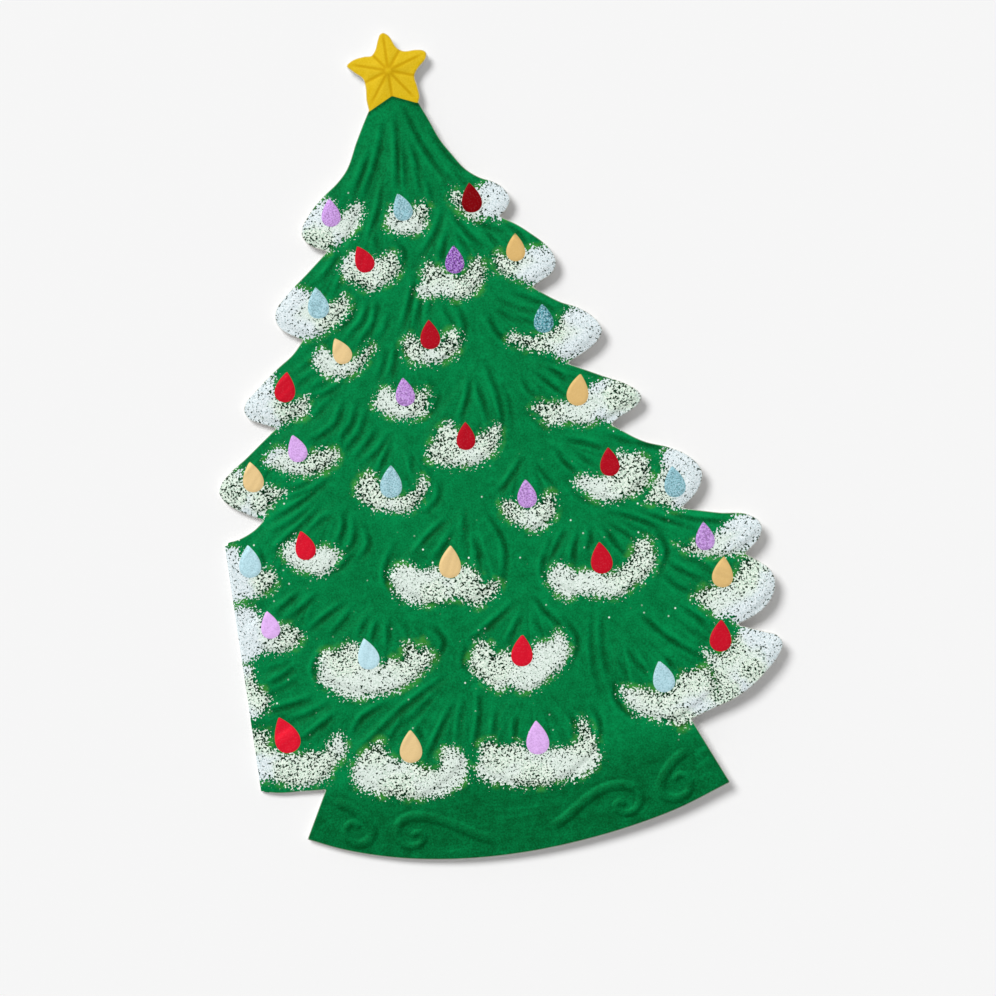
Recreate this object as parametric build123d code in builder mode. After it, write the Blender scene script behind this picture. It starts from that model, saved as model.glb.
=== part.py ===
from build123d import *
from math import atan2, cos, degrees, hypot, pi, radians, sin
import os

# Folded greeting card, die-cut as a decorated tree and embossed on its front panel.
# One sheet is folded along a short spine at the left, so both panels have the same outline.
# The card lies on its back panel. The front panel stands a little open from the fold.

# Driving dimensions, in millimetres and degrees
CARD_WIDTH = 118.8
CARD_HEIGHT = 183.4
SHEET = 0.4
FOLD_INNER_RADIUS = 0.3
OPEN_ANGLE = 1.2
BOUGH_RISE = 0.6
BOUGH_FLANK = 0.6
GROOVE_WIDTH = 0.8
GROOVE_DEPTH = 0.18
GROOVE_START = 0.3
GROOVE_END = 0.66
DROP_WIDTH = 4.6
DROP_PROUD = 0.22
DROP_SIDES = 14
STAR_OUTER_RADIUS = 9.8
STAR_INNER_RADIUS = 5.5
STAR_TIP_RADIUS = 1.0
STAR_STEP = 36
STAR_PROUD = 0.9
SCROLL_RADIUS = 3.5
SCROLL_SWEEP = 270
SCROLL_LAP = 25
SCROLL_WIDTH = 1.2
SCROLL_PROUD = 0.35
TRIM = 2.0

# The drawing: points are measured to the right from the fold and up from the foot.
# Edges below the star on the left, one curve to a bough, from the fold's top upwards
FOLD_TOP = (0, 76.9)
FOLD_FOOT = (0, 21.6)
LEFT_EDGES = [
    [FOLD_TOP, (4.1, 77.6), (9.4, 80.8)],
    [(9.4, 80.8), (3.3, 84.2), (0.5, 88.3), (7.2, 94.7), (15.1, 100.4)],
    [(15.1, 100.4), (10.2, 102.8), (8.6, 105.3), (14.7, 111.6), (23.8, 118.8)],
    [(23.8, 118.8), (19.7, 121.5), (18.4, 124.4), (22.9, 130.3), (31.9, 137.4)],
    [(31.9, 137.4), (28.2, 139.4), (26.9, 141.6), (31.0, 148.0), (38.2, 153.8), (41.9, 160.6), (44.9, 165.9)],
]
# Edges below the star on the right, from the star down to the foot
RIGHT_EDGES = [
    [(57.1, 165.9), (60.0, 158.4), (64.7, 150.9), (70.3, 147.2), (73.4, 142.8), (70.5, 139.5)],
    [(70.5, 139.5), (76.9, 134.7), (81.4, 128.1), (79.7, 125.2), (75.4, 123.0)],
    [(75.4, 123.0), (85.0, 116.9), (89.2, 111.2), (85.9, 107.8), (80.5, 105.3)],
    [(80.5, 105.3), (90.0, 100.5), (95.6, 95.7), (93.1, 93.1), (88.1, 90.5)],
    [(88.1, 90.5), (95.0, 85.7), (103.1, 81.9), (106.4, 77.2), (104.4, 72.9), (100.6, 70.1)],
    [(100.6, 70.1), (108.7, 67.9), (115.6, 66.3), (117.6, 63.5), (116.6, 61.0), (113.0, 58.1)],
    [(113.0, 58.1), (117.2, 54.9), (118.8, 51.6), (116.3, 46.3), (108.9, 42.9)],
    [(108.9, 42.9), (115.0, 40.4), (118.4, 38.2), (113.7, 31.6), (106.2, 26.9), (96.1, 23.8)],
]
FOOT_RIGHT = (102.5, 8.8)
FOOT_MIDDLE = (55.0, 0)
FOOT_LEFT = (8.6, 9.7)
FOOT_TOP_LEFT = (14.2, 20.0)
SPINE_FOOT_BEND = (6.0, 20.6)
STAR_CENTRE = (51.0, 174.8)

# Each bough: root, left end, lowest point, right end, then the drop's tip and base
BOUGHS = [
    [(47.5, 164.0), (25.5, 141.5), (32.0, 136.5), (41.5, 147.0), (34.0, 148.9), (33.8, 142.6)],
    [(51.0, 165.0), (45.0, 142.0), (50.5, 137.5), (56.0, 143.5), (49.1, 147.8), (50.1, 141.6)],
    [(54.5, 164.0), (60.5, 145.0), (67.5, 137.5), (74.0, 142.0), (65.0, 147.8), (65.0, 141.1)],
    [(46.0, 149.0), (33.8, 133.5), (40.5, 127.0), (48.3, 133.0), (38.6, 137.6), (40.4, 131.6)],
    [(37.5, 138.5), (17.5, 125.0), (25.5, 118.8), (35.5, 127.0), (28.2, 130.0), (28.2, 123.0)],
    [(59.8, 143.0), (49.8, 126.5), (58.0, 122.0), (66.3, 128.5), (59.6, 134.7), (59.1, 128.4)],
    [(64.0, 141.0), (67.0, 129.5), (74.5, 123.5), (82.0, 127.0), (73.4, 135.3), (72.7, 129.1)],
    [(42.0, 127.0), (25.0, 114.5), (31.0, 109.0), (39.8, 115.5), (30.7, 118.3), (32.6, 112.4)],
    [(51.0, 128.0), (44.8, 114.0), (51.5, 109.0), (58.8, 114.0), (51.8, 119.3), (51.4, 112.7)],
    [(62.5, 124.0), (67.8, 112.0), (79.0, 105.5), (89.5, 110.5), (77.0, 119.1), (76.6, 112.6)],
    [(31.0, 117.0), (8.0, 105.5), (15.0, 101.0), (24.5, 105.5), (19.3, 112.5), (17.6, 105.9)],
    [(46.5, 116.0), (36.8, 102.5), (44.0, 98.0), (50.5, 103.5), (44.3, 107.5), (44.3, 101.1)],
    [(67.0, 110.0), (71.0, 97.5), (82.0, 90.8), (96.0, 95.5), (83.1, 102.6), (81.1, 95.8)],
    [(32.5, 106.0), (11.0, 94.0), (20.0, 89.0), (28.8, 93.5), (18.4, 98.6), (19.4, 92.4)],
    [(61.0, 110.0), (46.8, 90.5), (55.5, 85.5), (64.8, 92.5), (56.5, 95.8), (55.8, 89.6)],
    [(18.0, 101.0), (0.0, 88.5), (6.5, 82.0), (16.0, 87.0), (8.2, 94.1), (8.5, 87.3)],
    [(41.0, 98.0), (29.8, 84.0), (40.0, 77.5), (47.8, 84.5), (38.9, 88.8), (37.9, 81.6)],
    [(70.5, 91.0), (78.0, 79.5), (86.5, 73.0), (96.0, 80.0), (86.7, 85.7), (86.4, 79.3)],
    [(88.0, 88.5), (94.5, 75.0), (100.0, 69.8), (107.0, 77.0), (100.0, 79.6), (100.0, 72.6)],
    [(68.5, 91.0), (60.8, 75.5), (68.0, 69.5), (74.3, 75.5), (67.7, 81.4), (67.4, 75.0)],
    [(15.0, 84.0), (1.8, 70.0), (6.0, 64.0), (11.5, 68.5), (5.1, 76.0), (4.9, 68.7)],
    [(27.5, 85.0), (11.8, 72.5), (19.5, 66.5), (25.5, 71.5), (17.1, 77.4), (17.9, 70.8)],
    [(54.8, 79.0), (34.8, 63.5), (48.0, 55.5), (60.0, 61.0), (49.3, 69.4), (48.1, 62.3)],
    [(78.5, 74.0), (69.0, 60.0), (82.0, 52.0), (94.8, 61.0), (81.8, 65.4), (81.6, 58.3)],
    [(88.0, 72.5), (97.5, 62.5), (107.5, 57.8), (118.0, 62.5), (105.0, 66.4), (104.7, 60.1)],
    [(94.0, 61.5), (99.8, 50.0), (109.0, 42.8), (119.5, 50.5), (108.4, 58.2), (106.9, 51.5)],
    [(20.0, 68.0), (1.8, 56.0), (7.5, 51.0), (15.5, 55.5), (7.1, 61.0), (7.6, 54.8)],
    [(33.5, 62.0), (15.8, 46.0), (29.0, 38.8), (44.0, 46.5), (27.4, 51.9), (28.1, 44.9)],
    [(65.0, 59.0), (49.0, 43.5), (61.0, 34.8), (73.0, 43.0), (62.1, 47.7), (60.9, 40.7)],
    [(90.0, 55.0), (101.0, 36.5), (109.0, 27.0), (119.0, 36.5), (105.8, 44.6), (104.5, 37.6)],
    [(83.0, 50.0), (81.0, 31.5), (91.0, 24.0), (103.0, 30.5), (90.9, 37.6), (91.6, 30.5)],
    [(22.0, 41.0), (1.8, 29.0), (9.5, 20.8), (20.8, 30.5), (6.3, 37.4), (8.2, 29.3)],
    [(48.0, 43.0), (19.5, 24.5), (33.0, 15.0), (46.5, 22.5), (34.6, 30.5), (33.8, 23.2)],
    [(62.5, 40.0), (47.0, 21.5), (61.0, 13.5), (77.0, 23.5), (62.3, 28.5), (61.8, 21.0)],
]
# Each scroll on the foot: ring centre, angle where its tail leaves, way round, tail's middle and end
SCROLLS = [
    [(20.2, 9.7), 30, -1, (20.6, 15.4), (15.2, 17.9)],
    [(32.2, 7.6), 60, 1, (42.5, 8.8), (51.5, 3.4)],
    [(78.4, 7.6), 120, -1, (68.2, 8.6), (61.0, 2.9)],
    [(91.0, 9.5), 150, 1, (90.4, 15.4), (95.3, 17.9)],
]
ARCS_PER_EDGE = 4

# The drawing is stretched to the card's own width and height.
notch_inward = STAR_OUTER_RADIUS - STAR_INNER_RADIUS * cos(radians(STAR_STEP))
star_point_half_angle = atan2(STAR_INNER_RADIUS * sin(radians(STAR_STEP)), notch_inward)
star_point_loss = STAR_TIP_RADIUS * (1 / sin(star_point_half_angle) - 1)
drawn_width = max(point[0] for edge in RIGHT_EDGES for point in edge)
drawn_height = STAR_CENTRE[1] + STAR_OUTER_RADIUS - star_point_loss


def at(point):
    """A drawn point, placed on the card."""
    return (point[0] * CARD_WIDTH / drawn_width, point[1] * CARD_HEIGHT / drawn_height)


def star_points(first, last):
    """Corners of the star, clockwise from its top; even numbers are its tips."""
    corners = []
    for number in range(first, last + 1):
        radius = STAR_OUTER_RADIUS if number % 2 == 0 else STAR_INNER_RADIUS
        angle = radians(90 - STAR_STEP * number)
        centre = at(STAR_CENTRE)
        corners.append((centre[0] + radius * cos(angle), centre[1] + radius * sin(angle)))
    return corners


def draw_arcs(points, count):
    """A smooth curve through the points, drawn as a chain of arcs."""
    curve = Spline(*points, mode=Mode.PRIVATE)
    for number in range(count):
        ThreePointArc(*[curve @ ((number + share) / count) for share in (0, 0.5, 1)])


# The front panel's outer face leans up to the right from a line above the fold.
fold_outer_radius = FOLD_INNER_RADIUS + SHEET
lean = radians(OPEN_ANGLE)
bend_end = (fold_outer_radius * (1 - sin(lean)), fold_outer_radius * (1 + cos(lean)))
front = Plane(
    origin=(-CARD_WIDTH / 2, -CARD_HEIGHT / 2, bend_end[1] - bend_end[0] * sin(lean) / cos(lean)),
    x_dir=(cos(lean), 0, sin(lean)),
    z_dir=(-sin(lean), 0, cos(lean)),
)
# A drop's half width follows sin(t) * sin(t / 2), which is fullest at this value.
DROP_FULLEST = 4 / 27**0.5
# Raised forms are seated this deep in the sheet.
seat_depth = SHEET / 3


class BoughFrame:
    """The slanted top of one bough: x runs from its root to its lowest point, rising from the panel."""

    def __init__(self, root, low):
        self.root = at(root)
        low_end = at(low)
        self.length = hypot(low_end[0] - self.root[0], low_end[1] - self.root[1])
        self.heading = atan2(low_end[1] - self.root[1], low_end[0] - self.root[0])
        foot = Pos(*self.root) * Rot(Z=degrees(self.heading))
        pitch = degrees(atan2(BOUGH_RISE, self.length))
        self.base = Plane(front.offset(-seat_depth).location * foot)
        self.top = Plane(front.location * foot * Rot(Y=-pitch))

    def local(self, point):
        """A drawn point as distances along and across the bough."""
        card_point = at(point)
        right = card_point[0] - self.root[0]
        up = card_point[1] - self.root[1]
        along = right * cos(self.heading) + up * sin(self.heading)
        across = up * cos(self.heading) - right * sin(self.heading)
        return (along, across)

    def draw_outline(self, left, right, flank):
        """Fan-shaped outline: straight sides from the root and one arc below, moved out by the flank."""
        root = (-flank, 0)
        low = (self.length + flank, 0)
        ends = []
        for end in (self.local(left), self.local(right)):
            side = flank if end[1] > 0 else -flank
            ends.append((end[0], end[1] + side))
            Line(root, ends[-1])
        ThreePointArc(ends[0], low, ends[1])

    def turned_to(self, start, end, height):
        """A plane at a height over the bough's top, with its x axis from start to end."""
        turn = degrees(atan2(end[1] - start[1], end[0] - start[0]))
        return Plane(self.top.offset(height).location * Pos(*start) * Rot(Z=turn))


def make_lobe(root, left, low, right):
    """A bough: a slanted lobe, level with the panel at its root and proud at its lowest point."""
    bough = BoughFrame(root, low)
    with BuildPart() as lobe:
        for plane, flank in ((bough.base, BOUGH_FLANK), (bough.top, 0)):
            with BuildSketch(plane):
                with BuildLine():
                    bough.draw_outline(left, right, flank)
                make_face()
        loft(ruled=True)
    return lobe.part


def make_drop(root, low, drop_tip, drop_base):
    """A drop lamp, pointed at its top and round below, raised on its bough."""
    bough = BoughFrame(root, low)
    tip = bough.local(drop_tip)
    base = bough.local(drop_base)
    length = hypot(base[0] - tip[0], base[1] - tip[1])
    drop_seat = BOUGH_RISE * tip[0] / bough.length + seat_depth
    outline = []
    for number in range(DROP_SIDES):
        turn = 2 * pi * number / DROP_SIDES
        bulge = sin(turn) * sin(turn / 2) / DROP_FULLEST
        outline.append((length / 2 * (1 - cos(turn)), DROP_WIDTH / 2 * bulge))
    with BuildPart() as drop:
        with BuildSketch(bough.turned_to(tip, base, -drop_seat)):
            with BuildLine():
                Polyline(*outline, close=True)
            make_face()
        extrude(amount=drop_seat + DROP_PROUD)
    return drop.part


def make_groove(root, low, target):
    """A needle groove in a bough: a long diamond cut that points from the root to the target."""
    bough = BoughFrame(root, low)
    aim = bough.local(target)
    start = (GROOVE_START * aim[0], GROOVE_START * aim[1])
    end = (GROOVE_END * aim[0], GROOVE_END * aim[1])
    middle = hypot(end[0] - start[0], end[1] - start[1]) / 2
    half = GROOVE_WIDTH / 2
    with BuildPart() as groove:
        with BuildSketch(bough.turned_to(start, end, -GROOVE_DEPTH)):
            with BuildLine():
                Polyline((0, 0), (middle, half), (2 * middle, 0), (middle, -half), close=True)
            make_face()
        extrude(amount=2 * GROOVE_DEPTH)
    return groove.part


def draw_crescent(start, outer_middle, inner_middle, end):
    """Two arcs between the same ends."""
    ThreePointArc(start, outer_middle, end)
    ThreePointArc(start, inner_middle, end)


def make_scroll(centre, angle, way, tail_middle, tail_end):
    """A scroll on the foot: an open ring and a tail that laps its start, both raised crescents."""
    middle = at(centre)

    def on_ring(turn, radius):
        direction = radians(angle + way * turn)
        return (middle[0] + radius * cos(direction), middle[1] + radius * sin(direction))

    start = on_ring(0, SCROLL_RADIUS)
    end = on_ring(SCROLL_SWEEP, SCROLL_RADIUS)
    ring_inner = on_ring(SCROLL_SWEEP / 2, SCROLL_RADIUS - SCROLL_WIDTH)
    lap_end = on_ring(SCROLL_LAP, SCROLL_RADIUS - SCROLL_WIDTH / 6)
    tail_outer = at(tail_middle)
    tail_inner = (tail_outer[0], tail_outer[1] - SCROLL_WIDTH)
    with BuildPart() as scroll:
        for arcs in (
            (start, on_ring(SCROLL_SWEEP / 2, SCROLL_RADIUS), ring_inner, end),
            (at(tail_end), tail_outer, tail_inner, lap_end),
        ):
            with BuildSketch(front.offset(-seat_depth)):
                with BuildLine():
                    draw_crescent(*arcs)
                make_face()
            extrude(amount=seat_depth + SCROLL_PROUD)
    return scroll.part


# Star: ten facets, with ridges to the tips and creases to the notches
with BuildPart() as star:
    with BuildSketch(front.offset(-seat_depth)) as star_sketch:
        with BuildLine():
            Polyline(*star_points(0, 9), close=True)
        make_face()
    peak = front.from_local_coords((*at(STAR_CENTRE), STAR_PROUD))
    loft(sections=[star_sketch.sketch.face(), Vertex(*peak)])

raised = [star.part]
grooves = []
for root, left, low, right, drop_tip, drop_base in BOUGHS:
    raised.append(make_lobe(root, left, low, right))
    raised.append(make_drop(root, low, drop_tip, drop_base))
    for end in (left, right):
        grooves.append(make_groove(root, low, end))
for scroll in SCROLLS:
    raised.append(make_scroll(*scroll))

with BuildPart() as folded_card:
    # Folded sheet: back panel, bend and front panel in one section, with trim outside the die line
    section_plane = Plane(
        origin=(-CARD_WIDTH / 2, CARD_HEIGHT / 2 + TRIM, 0), x_dir=(1, 0, 0), z_dir=(0, -1, 0)
    )
    bend_centre = (fold_outer_radius, fold_outer_radius)
    bend_turn = 180 - OPEN_ANGLE
    reach = CARD_WIDTH + TRIM
    with BuildSketch(section_plane):
        with BuildLine():
            outer_bend = CenterArc(bend_centre, fold_outer_radius, 270, -bend_turn)
            inner_bend = CenterArc(bend_centre, FOLD_INNER_RADIUS, 270, -bend_turn)
            back_outside = PolarLine(outer_bend @ 0, reach, 0)
            back_inside = PolarLine(inner_bend @ 0, reach, 0)
            front_outside = PolarLine(outer_bend @ 1, reach, OPEN_ANGLE)
            front_inside = PolarLine(inner_bend @ 1, reach, OPEN_ANGLE)
            Line(back_outside @ 1, back_inside @ 1)
            Line(front_outside @ 1, front_inside @ 1)
        make_face()
    extrude(amount=CARD_HEIGHT + 2 * TRIM)

    # Embossed forms on the front panel
    add(raised, clean=False)
    add(grooves, clean=False, mode=Mode.SUBTRACT)

    # Die line: one cut through both panels
    tallest_form = BOUGH_RISE + DROP_PROUD + STAR_PROUD + SCROLL_PROUD
    cut_height = 2 * fold_outer_radius + CARD_WIDTH * sin(lean) + tallest_form
    with BuildSketch(Plane(origin=(-CARD_WIDTH / 2, -CARD_HEIGHT / 2, -TRIM))):
        with BuildLine():
            for edge in LEFT_EDGES + RIGHT_EDGES:
                draw_arcs([at(point) for point in edge], ARCS_PER_EDGE)
            corner_radii = [0, 0] + 3 * [STAR_TIP_RADIUS, 0] + [0]
            star_path = [at(LEFT_EDGES[-1][-1]), *star_points(-4, 4), at(RIGHT_EDGES[0][0])]
            FilletPolyline(*star_path, radius=corner_radii)
            Line(at(RIGHT_EDGES[-1][-1]), at(FOOT_RIGHT))
            ThreePointArc(at(FOOT_RIGHT), at(FOOT_MIDDLE), at(FOOT_LEFT))
            Line(at(FOOT_LEFT), at(FOOT_TOP_LEFT))
            ThreePointArc(at(FOOT_TOP_LEFT), at(SPINE_FOOT_BEND), at(FOLD_FOOT))
            Line(at(FOLD_FOOT), at(FOLD_TOP))
        make_face()
    extrude(amount=cut_height + 2 * TRIM, mode=Mode.INTERSECT)

os.makedirs("parts", exist_ok=True)
folded_card.part.label = "folded_card"
export_step(folded_card.part, "parts/folded_card.step")
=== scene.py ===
# %% [markdown]
# # A folded holiday card, cut as a tree
# The card is one sheet of heavy paper, folded once at the left and cut through both panels as a
# decorated tree. The packed solid gives its size and place. This script gives it the print, the
# pressed boughs and the foil lamps, in the same frame and in metres.

import math

import bpy
import numpy as np
from mathutils import Matrix, Vector


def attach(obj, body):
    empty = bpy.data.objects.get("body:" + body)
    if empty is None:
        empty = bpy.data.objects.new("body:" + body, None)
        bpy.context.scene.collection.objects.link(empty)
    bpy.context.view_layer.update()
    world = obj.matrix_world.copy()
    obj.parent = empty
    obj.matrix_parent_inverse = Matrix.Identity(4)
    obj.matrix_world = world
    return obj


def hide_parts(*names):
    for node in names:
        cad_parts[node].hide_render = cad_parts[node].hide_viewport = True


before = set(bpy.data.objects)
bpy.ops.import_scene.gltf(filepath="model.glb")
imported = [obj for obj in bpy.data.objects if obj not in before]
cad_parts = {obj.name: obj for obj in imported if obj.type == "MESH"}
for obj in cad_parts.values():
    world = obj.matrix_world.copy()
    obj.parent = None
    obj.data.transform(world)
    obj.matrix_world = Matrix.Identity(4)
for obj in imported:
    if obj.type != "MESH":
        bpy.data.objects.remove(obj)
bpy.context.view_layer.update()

# %% [markdown]
# The drawing of the card is in millimetres: u runs to the right from the fold and v runs up from the
# foot. It is a little taller than the card, so v is shrunk by a hair on its way to the frame.

# %% From the drawing to the frame
MM = 0.001
CARD_WIDTH = 118.8
CARD_HEIGHT = 183.4
DRAWN_HEIGHT = 183.67


def placed(u, v, z):
    """Drawing points, in millimetres, as an array of points in the frame."""
    x = u - CARD_WIDTH / 2
    y = v * CARD_HEIGHT / DRAWN_HEIGHT - CARD_HEIGHT / 2
    return np.stack([x, y, z], axis=-1) * MM


print("foot of the fold, m:", placed(0.0, 21.6, 0.0))

# %% [markdown]
# The camera comes first, so that every later step can be compared with the photograph. It hangs
# straight above the card behind a long lens, and it is turned a little, so the card leans in the
# picture. A shorter lens would also do, but it would show the card's sides.

# %% Camera
VIEW_CENTRE = (61.16, 78.14)
VIEW_WIDTH = 219.12
VIEW_TURN = math.radians(8.41)
FRONT_LEVEL = 2.6
LENS = 120
SENSOR = 36

camera = bpy.data.objects.new("overhead_camera", bpy.data.cameras.new("overhead_camera"))
bpy.context.collection.objects.link(camera)
camera.data.lens = LENS
camera.data.sensor_width = SENSOR
distance = VIEW_WIDTH * LENS / SENSOR
right = Vector((math.cos(VIEW_TURN), -math.sin(VIEW_TURN), 0))
up = Vector((math.sin(VIEW_TURN), math.cos(VIEW_TURN), 0))
turn = Matrix((right, up, right.cross(up))).transposed()
eye = Vector(placed(*VIEW_CENTRE, FRONT_LEVEL + distance))
camera.matrix_world = Matrix.Translation(eye) @ turn.to_4x4()
bpy.context.scene.camera = camera
print("camera height, m:", round(eye.z, 3))

# %% [markdown]
# The front panel is a relief, so its mesh is a fine grid of triangles that is pushed up and down.
# Sculpting or a displacement picture could do this too. A grid that is worked out in numbers keeps
# every bough where the drawing has it, and each point can also carry what is printed there.

# %% Grid of points over the drawing
GAP = 0.43
ROW_GAP = GAP * math.sqrt(3) / 2
MARGIN = 1.0
ROWS = int((DRAWN_HEIGHT + 2 * MARGIN) / ROW_GAP) + 1
COLUMNS = int((CARD_WIDTH + 2 * MARGIN) / GAP) + 1
row_number, column_number = np.mgrid[0:ROWS, 0:COLUMNS]
grid_u = GAP * (column_number + 0.5 * (row_number % 2)) - MARGIN
grid_v = ROW_GAP * row_number - MARGIN
print("grid points:", grid_u.size)

# %% [markdown]
# Every shape on the card is drawn by a few given points. A smooth curve joins them. A Blender curve
# object could do that, but here the points are needed as plain numbers, so a short formula does it:
# between two points the curve leaves along the slope of one and arrives along the slope of the other.

# %% Curves
CURVE_STEP = 0.3


def curve_through(points, step=CURVE_STEP):
    """Points at even steps along a smooth curve through the given ones."""
    knots = np.array(points, dtype=float)
    spans = np.linalg.norm(np.diff(knots, axis=0), axis=1)
    stations = np.concatenate([[0], np.cumsum(spans)])
    slopes = np.gradient(knots, stations, axis=0)
    count = max(2, int(stations[-1] / step) + 1)
    places = np.linspace(0, stations[-1], count)
    span = np.clip(np.searchsorted(stations, places, side="right") - 1, 0, len(spans) - 1)
    length = spans[span][:, None]
    share = ((places - stations[span]) / spans[span])[:, None]
    start_weight = 2 * share**3 - 3 * share**2 + 1
    leave = (share**3 - 2 * share**2 + share) * length * slopes[span]
    arrive = (share**3 - share**2) * length * slopes[span + 1]
    return start_weight * knots[span] + leave + (1 - start_weight) * knots[span + 1] + arrive


def closed_curve(points):
    """A smooth closed curve through the given points."""
    lap = curve_through([*points[-2:], *points, *points[:2]])
    way = np.linalg.norm(lap - np.array(points[0]), axis=1)
    half = len(lap) // 2
    first = np.argmin(way[:half])
    last = len(lap) - 1 - np.argmin(way[::-1][:half])
    return lap[first : last + 1]


print("points on a test curve:", len(curve_through([(0, 0), (3, 4), (9, 4)])))

# %% [markdown]
# The grid is then asked how far each of its points lies from such a curve, and whether it lies inside
# a closed one. Only the part of the grid around the curve is worked on, because the rest is too far
# away to matter. A soft step and a soft bell then turn a distance into a height or a share.

# %% Distances
FIELD_REACH = 6.0


def window(low, high):
    """The rows and columns of the grid between two corners."""
    rows = slice(max(0, int((low[1] + MARGIN) / ROW_GAP)), int((high[1] + MARGIN) / ROW_GAP) + 2)
    columns = slice(max(0, int((low[0] + MARGIN) / GAP) - 1), int((high[0] + MARGIN) / GAP) + 2)
    return rows, columns


def near_path(path, reach):
    """Part of the grid around a path: distance to it, share of the way along it, and nearest spot."""
    area = window(path.min(axis=0) - reach, path.max(axis=0) + reach)
    u, v = grid_u[area], grid_v[area]
    distance = np.full(u.shape, float(reach))
    share = np.zeros(u.shape)
    foot = np.stack([u, v])
    for number in range(len(path) - 1):
        start = path[number]
        run = path[number + 1] - start
        along = np.clip(((u - start[0]) * run[0] + (v - start[1]) * run[1]) / (run @ run), 0, 1)
        spot = np.stack([start[0] + along * run[0], start[1] + along * run[1]])
        gap = np.hypot(u - spot[0], v - spot[1])
        closer = gap < distance
        distance = np.where(closer, gap, distance)
        share = np.where(closer, (number + along) / (len(path) - 1), share)
        foot = np.where(closer, spot, foot)
    return area, distance, share, foot


def inside_loop(loop):
    """Which grid points lie inside a closed loop, counted by its crossings in each row."""
    inside = np.zeros(grid_u.shape, dtype=bool)
    row_v = grid_v[:, 0]
    for start, end in zip(loop, np.roll(loop, -1, axis=0)):
        crossed = np.nonzero((row_v >= min(start[1], end[1])) & (row_v < max(start[1], end[1])))[0]
        if len(crossed):
            slope = (end[0] - start[0]) / (end[1] - start[1])
            crossing = start[0] + (row_v[crossed] - start[1]) * slope
            inside[crossed] ^= grid_u[crossed] < crossing[:, None]
    return inside


def loop_field(runs, reach=FIELD_REACH):
    """Distance of each grid point into a closed loop, negative outside, and the nearest spot on it."""
    distance = np.full(grid_u.shape, float(reach))
    foot = np.stack([grid_u, grid_v])
    for run in runs:
        area, gap, _, spot = near_path(run, reach)
        closer = gap < distance[area]
        distance[area] = np.where(closer, gap, distance[area])
        for axis in range(2):
            foot[axis][area] = np.where(closer, spot[axis], foot[axis][area])
    loop = np.concatenate([run[:-1] for run in runs])
    return np.where(inside_loop(loop), distance, -distance), foot


def ease(value, low, high):
    """A smooth step from 0 at low to 1 at high."""
    share = np.clip((value - low) / (high - low), 0, 1)
    return share * share * (3 - 2 * share)


def bell(value, width):
    """1 where the value is 0, falling off smoothly on both sides."""
    return np.exp(-((value / width) ** 2))


print("distances are kept up to, mm:", FIELD_REACH)

# %% [markdown]
# The die line is the card's edge. Each bough's edge is one smooth run, and the runs meet in sharp
# notches, as a cutting rule bent from steel gives them. The star at the top has soft tips, so its
# edge is one run. The fold is the straight run at the left, and there the front panel ends where the
# bend begins.

# %% Die line
BEND_RADIUS = 0.7
OPEN_ANGLE = math.radians(1.2)
FOLD_U = BEND_RADIUS * (1 - math.sin(OPEN_ANGLE))
FOLD_TOP = (FOLD_U, 77.0)
FOLD_FOOT = (FOLD_U, 21.5)
# The star's edge, clockwise from its left foot
STAR_EDGE = [
    (45.5, 166.8), (45.3, 168.8), (45.5, 172.3), (45.3, 173.6), (43.3, 175.7), (42.1, 177.3),
    (43.0, 178.0), (46.2, 178.7), (47.9, 178.7), (48.5, 179.3), (49.8, 182.1), (50.3, 183.0),
    (51.1, 183.3), (51.8, 182.9), (53.9, 179.3), (54.6, 178.8), (57.9, 178.5), (59.2, 178.2),
    (59.9, 177.5), (59.8, 176.8), (57.2, 173.9), (56.7, 173.1), (56.9, 170.2), (57.0, 167.9),
    (56.6, 167.0),
]
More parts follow.
